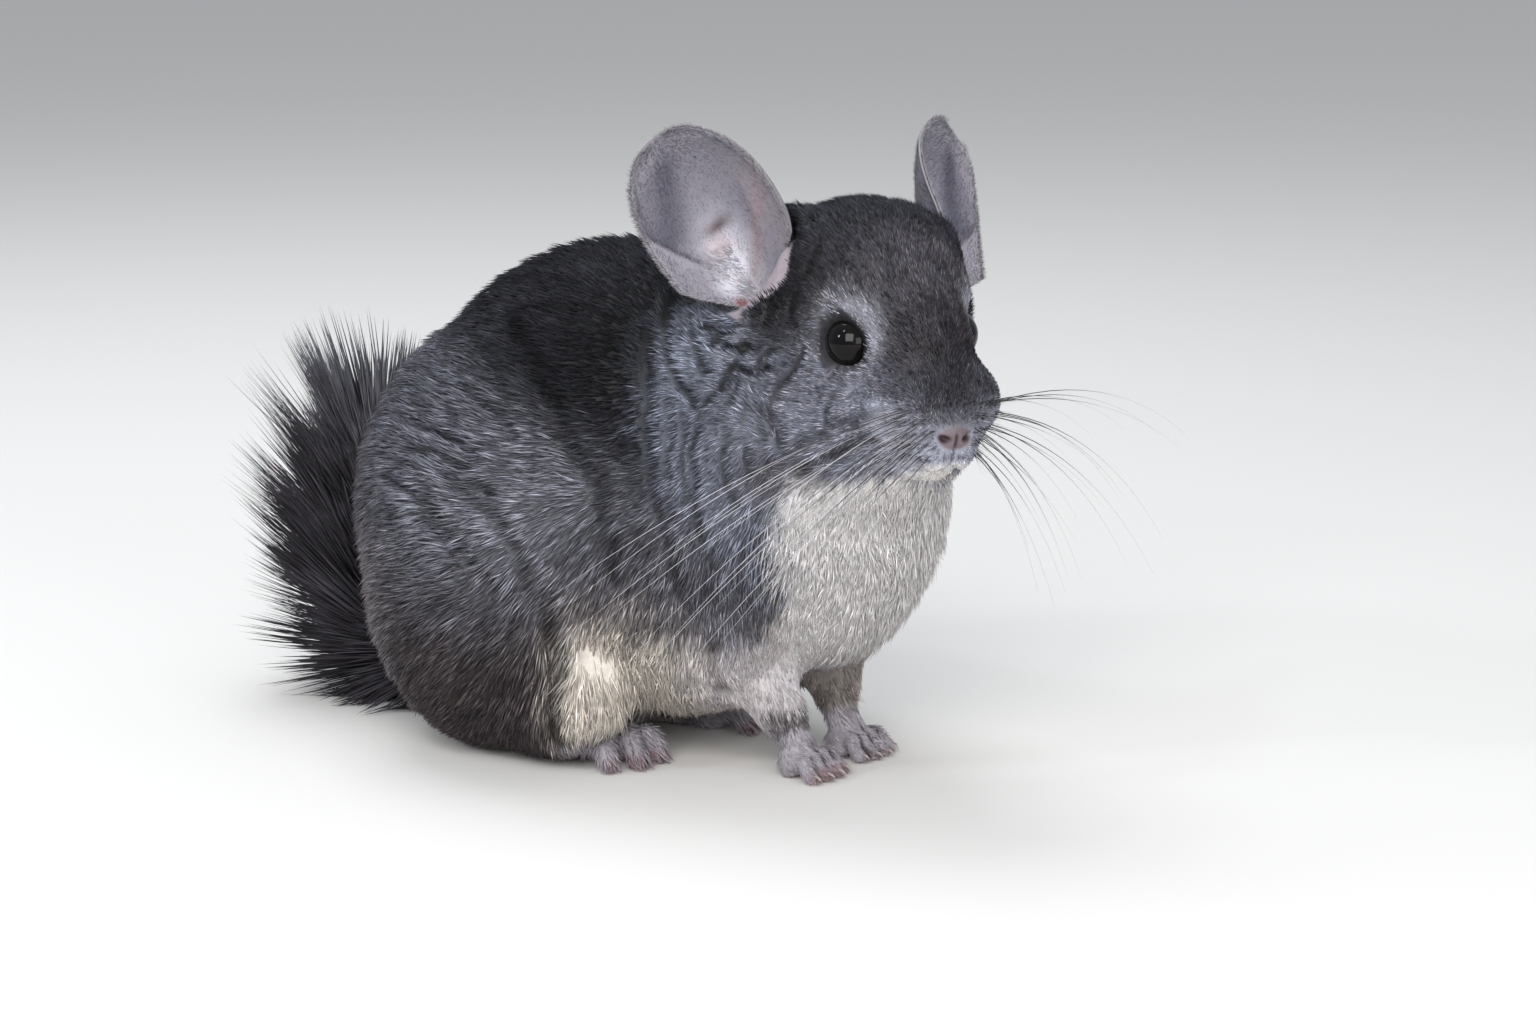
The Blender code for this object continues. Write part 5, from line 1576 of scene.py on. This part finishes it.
def buildEarDown(hand, side):
    # fine down on both faces of an ear, a fringe on its rim, and longer pale hairs low in the cup
    kinds = np.repeat(np.arange(4), earDown["counts"])
    count = len(kinds)
    along = draw.random(count) ** 0.85 * 0.985
    edge = draw.uniform(-0.98, 0.98, count)
    rim = kinds == 2
    edge = np.where(rim, np.sign(edge) * draw.uniform(0.97, 1.0, count), edge)
    tuft = kinds == 3
    along = np.where(tuft, draw.uniform(0.04, 0.34, count), along)
    edge = np.where(tuft, draw.normal(-0.16, 0.16, count), edge)
    front = earRims(along, edge)
    wide = front * side
    middle = earPoint(along, wide, side)
    ahead, out = earNormal(along, wide, side, 0.004)
    face = np.where(kinds == 1, -1.0, 1.0)
    relief = earRelief(along, front) + face * earShape["thick"] * 0.4
    turn, root = earFrame(side)
    roots = (middle + out * relief[:, None]) @ turn.T + root
    normals = (out * face[:, None]) @ turn.T
    sideways = np.cross(normals, ahead @ turn.T) * (np.sign(edge) * side * face)[:, None]
    lies = ahead @ turn.T * np.where(rim, 0.5, 1.0)[:, None] + sideways * np.where(rim, 1.0, 0.0)[:, None]
    lies = across(lies + sideways * (tuft * 0.8)[:, None] + draw.normal(0, 0.30, (count, 3)), normals)
    lengths = np.array(earDown["lengths"])[kinds] * draw.uniform(0.6, 1.25, count)
    lifts = np.radians(np.array(earDown["liftDeg"])[kinds]) * draw.uniform(0.6, 1.3, count)
    # the far ear's down is painted lighter too: painted light
    colours = earPaint(along, front, np.zeros(count), True) * earPose[side]["pale"]
    colours[kinds == 1] = earTones["back"]
    colours[rim | tuft] = earTones["rim"]
    speck = draw.random(count)
    shade = np.where(speck > 0.55, 1.75, np.where(speck < 0.25, 0.45, 1.0)) * draw.uniform(0.85, 1.15, count)
    shade = np.where(tuft, draw.uniform(1.2, 1.8, count), shade)
    colours = np.clip(colours * shade[:, None], 0, 0.85)
    spots = np.column_stack((0.1 + 0.8 * along, 0.5 + 0.45 * edge))
    down = makeTufts("earDown" + hand.capitalize(), roots, normals, lies, lengths, np.full(count, earDown["wide"]),
                     lifts, 0.3, np.zeros((count, 3)), colours, spots, np.full(count, 0.9), 1, coatHair)


for hand, side in sides.items():
    buildEar(hand, side)
for hand, side in sides.items():
    buildEarDown(hand, side)
print("ears made")

# ---- tail

tailShape = {
    "line": ((-0.074, 0.000, 0.018), (-0.094, 0.000, 0.011), (-0.108, 0.001, 0.021), (-0.113, 0.002, 0.040),
             (-0.109, 0.003, 0.059)),
    "core": 0.0075, "thinner": 0.6, "sidesRound": 20,
    "hair": 0.043, "leanDeg": 65, "tufts": 11500, "swept": (-0.37, 0, -0.10), "wide": 0.00085,
}
tailTones = {"dark": tone(34, 31, 35), "grey": tone(70, 67, 73), "tip": tone(96, 96, 102)}


def closeRings(bm, rings):
    # walls from ring to ring, and a cap at each end
    for low, high in zip(rings, rings[1:]):
        for a, b, c, d in zip(low, low[1:] + low[:1], high[1:] + high[:1], high):
            bm.faces.new((a, b, c, d))
    bm.faces.new(rings[0][::-1])
    bm.faces.new(rings[-1])


def smoothLine(points, steps):
    line = []
    for i in range(len(points) - 1):
        before, start = points[max(i - 1, 0)], points[i]
        end, after = points[i + 1], points[min(i + 2, len(points) - 1)]
        for t in np.arange(steps) / steps:
            curved = (2 * before - 5 * start + 4 * end - after) * t * t
            curved = curved + (3 * start - before - 3 * end + after) * t**3
            line.append(0.5 * (2 * start + (end - before) * t + curved))
    return np.array(line + [points[-1]])


def tailFrames(line):
    tangents = unit(np.gradient(line, axis=0))
    side = unit(np.cross(tangents[0], (0, 1, 0)))
    frames = []
    for tangent in tangents:
        side = unit(side - tangent * (side @ tangent))
        frames.append((tangent, side, np.cross(tangent, side)))
    return np.array(frames)


tailLine = smoothLine(np.array(tailShape["line"]), 8) + bodyMiddle
tailAxes = tailFrames(tailLine)


def tailSpot(share):
    spot = share * (len(tailLine) - 1)
    i = np.minimum(spot.astype(int), len(tailLine) - 2)
    t = (spot - i)[:, None]
    return tailLine[i] * (1 - t) + tailLine[i + 1] * t, tailAxes[i]


def tailRadius(share):
    return tailShape["core"] * (1 - tailShape["thinner"] * share)


def buildTailCore():
    around = tailShape["sidesRound"]
    bm = bmesh.new()
    rings = []
    for i, (spot, (tangent, side, up)) in enumerate(zip(tailLine, tailAxes)):
        radius = tailRadius(i / (len(tailLine) - 1))
        angles = math.tau * np.arange(around) / around
        rings.append([bm.verts.new(spot + radius * (math.cos(a) * side + math.sin(a) * up)) for a in angles])
    closeRings(bm, rings)
    bmesh.ops.recalc_face_normals(bm, faces=bm.faces)
    for vertex in bm.verts:
        vertex.co.z = max(vertex.co.z, 0.0006)
    core = bmeshObject("tailCore", bm)
    core.data.shade_smooth()
    paintPoints(core, "coatColour", np.tile(tailTones["dark"], (len(core.data.vertices), 1)))
    core.data.materials.append(skinLeather)
    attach(core, "root")


def buildTailHair(name, low, high, count, lockCount, node):
    # hairs in wispy locks that fan out from the core towards the tip
    lockShare = low + (high - low) * (np.arange(lockCount) + draw.random(lockCount)) / lockCount
    lockAngle = draw.random(lockCount) * math.tau
    lock = draw.integers(0, lockCount, count)
    share = np.clip(lockShare[lock] + draw.normal(0, 0.012, count), 0, 1)
    angle = lockAngle[lock] + draw.normal(0, 0.10, count)
    spots, axes = tailSpot(share)
    tangent, side, up = axes[:, 0], axes[:, 1], axes[:, 2]
    out = np.cos(angle)[:, None] * side + np.sin(angle)[:, None] * up
    lockLean = draw.normal(1, 0.12, lockCount)
    lean = math.radians(tailShape["leanDeg"]) * (1 - 0.35 * share) * lockLean[lock] + draw.normal(0, 0.05, count)
    core = tailRadius(share)
    roots = spots + out * (core * 0.8)[:, None]
    lockLength = 0.82 + 0.30 * draw.random(lockCount)
    lengths = tailShape["hair"] * (0.78 + 0.34 * share) * lockLength[lock] * (0.72 + 0.30 * draw.random(count))
    lengths -= core * 0.8
    lockEnd = draw.normal(0, 0.16, (lockCount, 3))
    swept = smoothStep(0.35, 0.85, share)[:, None] * tailShape["swept"]
    shifts = (lockEnd[lock] + 0.18 * tangent + swept) * lengths[:, None] * 0.45
    chance = draw.random(lockCount)[lock]
    colours = mix(np.tile(tailTones["dark"], (count, 1)), tailTones["grey"], 0.8 * chance)
    colours = mix(colours, tailTones["tip"], 0.7 * smoothStep(0.78, 0.98, share))
    colours *= (0.75 + 0.5 * draw.random(count))[:, None]
    spotsUv = np.column_stack((0.1 + 0.8 * share, (angle / math.tau) % 1 * 0.8 + 0.1))
    widths = tailShape["wide"] * (0.6 + 0.6 * draw.random(count))
    hair = makeTufts(name, roots, out, across(tangent, out), lengths, widths, lean,
                     0.25, shifts, colours, spotsUv, np.full(count, 0.6), 4, tailHair)
    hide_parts(node)


buildTailCore()
buildTailHair("tailBaseHair", 0.0, 0.5, tailShape["tufts"] // 3, 150, "tail_base")
buildTailHair("tailPlumeHair", 0.5, 1.0, tailShape["tufts"] * 2 // 3, 280, "tail_plume")
print("tail made")

# ---- claws

clawShape = {"thick": 0.00055, "length": 0.0026, "sidesRound": 8}


def addClaw(bm, root):
    ahead, drop, length, around = Vector((1, 0, 0)), Vector((0, 0, -1)), clawShape["length"], clawShape["sidesRound"]
    side = ahead.cross(drop).normalized()
    rings = []
    for reach, fall, share in ((-0.7, 0, 1), (0, 0, 1), (0.5, 0.10, 0.75), (0.9, 0.42, 0.12)):
        point, radius = root + (ahead * reach + drop * fall) * length, clawShape["thick"] * share
        angles = [math.tau * k / around for k in range(around)]
        rings.append([bm.verts.new(point + (side * math.cos(a) * 0.8 - drop * math.sin(a)) * radius) for a in angles])
    closeRings(bm, rings)


def buildClaws(name, hand, spots, place):
    bm = bmesh.new()
    for spot in spots:
        addClaw(bm, Vector(spot))
    bmesh.ops.recalc_face_normals(bm, faces=bm.faces)
    bmesh.ops.transform(bm, matrix=Matrix.Translation(bodyMiddle) @ place, verts=bm.verts)
    claws = bmeshObject(name + hand.capitalize(), bm)
    claws.data.shade_smooth()
    claws.data.materials.append(clawHorn)
    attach(claws, "root")


foreClaws = [(0.0090 - abs(out) * 0.36 + 0.0012, out * 1.24, 0.0025) for out in pawShape["foreToes"]]
hindClaws = [(reach + 0.0020, out * 1.12, 0.0036) for out, reach, _ in pawShape["hindToes"]]
for hand, side in sides.items():
    buildClaws("clawsFore", hand, foreClaws, forePlace(side))
    buildClaws("clawsHind", hand, hindClaws, hindPlace(side))
print("claws made")

# ---- whiskers

def whiskerLines(side):
    # each leaves the pad sideways, then droops back and down
    size = whiskerShape
    chance = np.random.default_rng(40 + side)
    steps = np.linspace(0, 1, 14)[:, None]
    lines = []
    for back, down, root in whiskerSpots[side]:
        heading = np.array((-0.12 - 0.22 * back, 1, between(size["rise"][side], down)))
        heading = unit(heading + chance.normal(0, 0.06, 3))
        reach = between(size["reach"], back) * (1 - 0.30 * down) * chance.uniform(0.82, 1.08)
        droop = np.array(size["droop"]) * chance.uniform(0.7, 1.2)
        root = root - heading * 0.0010
        lines.append((root + (heading * steps + droop * steps**2) * reach, 1.0))
        for _ in range(size["stubs"]):
            spot = root + chance.uniform(-1, 1, 3) * (0.0010, 0.0002, 0.0010)
            way = unit(heading + np.array((-0.25, 0, -0.10)) + chance.normal(0, 0.10, 3))
            lines.append((spot + way * steps[:6] / steps[5] * chance.uniform(0.006, 0.016), 0.5))
    return [(fromHead(line * (1, side, 1)), thick) for line, thick in lines]


def makeWhiskerTree():
    # sweeps a circle along each line and keeps how far along it each point is
    tree = bpy.data.node_groups.new("whiskerGrow", "GeometryNodeTree")
    addSockets(tree, "INPUT", {"Geometry": "Geometry", "Whisker Radius": "Float", "Sides Round": "Int"})
    addSockets(tree, "OUTPUT", {"Geometry": "Geometry"})
    wire(tree, {
        "inputs": ("NodeGroupInput", {}, {}),
        "outputs": ("NodeGroupOutput", {}, {}),
        "along": ("GeometryNodeSplineParameter", {}, {}),
        "store": ("GeometryNodeStoreNamedAttribute", {"data_type": "FLOAT", "domain": "POINT"},
                  {"Name": "whiskerAlong"}),
        "circle": ("GeometryNodeCurvePrimitiveCircle", {}, {}),
        "radius": ("GeometryNodeInputRadius", {}, {}),
        "sweep": ("GeometryNodeCurveToMesh", {}, {"Fill Caps": True}),
        "real": ("GeometryNodeRealizeInstances", {}, {}),
        "dress": ("GeometryNodeSetMaterial", {}, {"Material": whiskerHair}),
    }, (
        "inputs.Geometry > store.Geometry", "along.Factor > store.Value", "inputs.Whisker Radius > circle.Radius",
        "inputs.Sides Round > circle.Resolution", "store.Geometry > sweep.Curve",
        "circle.Curve > sweep.Profile Curve", "radius.0 > sweep.Scale", "sweep.0 > real.0",
        "real.0 > dress.Geometry", "dress.0 > outputs.Geometry",
    ))
    return tree


def buildWhiskers(hand, side):
    curve = bpy.data.curves.new("whiskerLines", "CURVE")
    curve.dimensions = "3D"
    for line, thick in whiskerLines(side):
        spline = curve.splines.new("POLY")
        spline.points.add(len(line) - 1)
        for i, (point, spot) in enumerate(zip(spline.points, line)):
            point.co = (*spot, 1)
            point.radius = thick * ((1 - i / (len(line) - 1)) ** 0.8 * 0.85 + 0.15)
    lines = addObject("whiskerLines", curve)
    grow = modify(lines, "NODES", node_group=whiskerTree)
    settings = {"Whisker Radius": whiskerShape["radius"], "Sides Round": whiskerShape["sidesRound"]}
    for item in whiskerTree.interface.items_tree:
        if item.name in settings:
            grow[item.identifier] = settings[item.name]
    graph = bpy.context.evaluated_depsgraph_get()
    mesh = bpy.data.meshes.new_from_object(lines.evaluated_get(graph))
    bpy.data.objects.remove(lines)
    made = addObject("whiskers" + hand.capitalize(), mesh)
    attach(made, "root")
    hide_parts("whiskers_" + hand)


whiskerTree = makeWhiskerTree()
for hand, side in sides.items():
    buildWhiskers(hand, side)
print("whiskers made")

# ---- floor, light and camera

studio = {
    "aim": (0.0116, 0.0231, 0.0609), "azimuthDeg": 36, "elevationDeg": 11, "away": 0.967, "lens": 85, "sensor": 36,
    "floor": (226, 224, 220), "world": (0.86, 0.90, 0.96), "worldStrength": 0.55,
    "lit": (0.02, 0, 0.07),  # where the lights point
    "lights": {  # place, size, power and colour
        "key": ((0.62, -1.15, 0.80), 0.85, 17, (1.0, 0.98, 0.97)),
        "fill": ((1.30, -0.50, 0.42), 0.60, 4, (0.96, 0.98, 1.0)),
        "window": ((-0.53, -1.17, 0.77), 0.15, 3.0, (0.90, 0.94, 1.0)),
        "pane": ((-0.15, -0.85, 1.23), 0.12, 1.4, (0.80, 0.88, 1.0)),
        "top": ((-0.50, 0.25, 1.30), 0.80, 9, (0.93, 0.96, 1.0)),
    },
}


def buildStudio():
    bm = bmesh.new()
    bmesh.ops.create_grid(bm, x_segments=1, y_segments=1, size=6)
    ground = bmeshObject("floor", bm)
    ground.data.materials.append(
        makeMaterial("floorPaper", {"Base Color": (*tone(*studio["floor"]), 1), "Roughness": 0.8}))
    world = bpy.data.worlds.new("studio")
    world.use_nodes = True
    sky = world.node_tree.nodes["Background"]
    sky.inputs["Color"].default_value = (*studio["world"], 1)
    sky.inputs["Strength"].default_value = studio["worldStrength"]
    bpy.context.scene.world = world
    for name, (place, size, power, colour) in studio["lights"].items():
        light = bpy.data.lights.new(name, "AREA")
        light.size, light.energy, light.color = size, power, colour
        lamp = addObject(name, light)
        lamp.location = place
        lamp.rotation_euler = (Vector(studio["lit"]) - Vector(place)).to_track_quat("-Z", "Y").to_euler()
    camera = addObject("camera", bpy.data.cameras.new("camera"))
    camera.data.lens, camera.data.sensor_width = studio["lens"], studio["sensor"]
    azimuth, elevation = math.radians(studio["azimuthDeg"]), math.radians(studio["elevationDeg"])
    flat = math.cos(elevation)
    back = Vector((math.sin(azimuth) * flat, -math.cos(azimuth) * flat, math.sin(elevation)))
    camera.location = Vector(bodyMiddle) + Vector(studio["aim"]) + back * studio["away"]
    camera.rotation_euler = (-back).to_track_quat("-Z", "Y").to_euler()
    bpy.context.scene.camera = camera
    bpy.context.scene.view_settings.view_transform = "Standard"


buildStudio()
print("studio made")
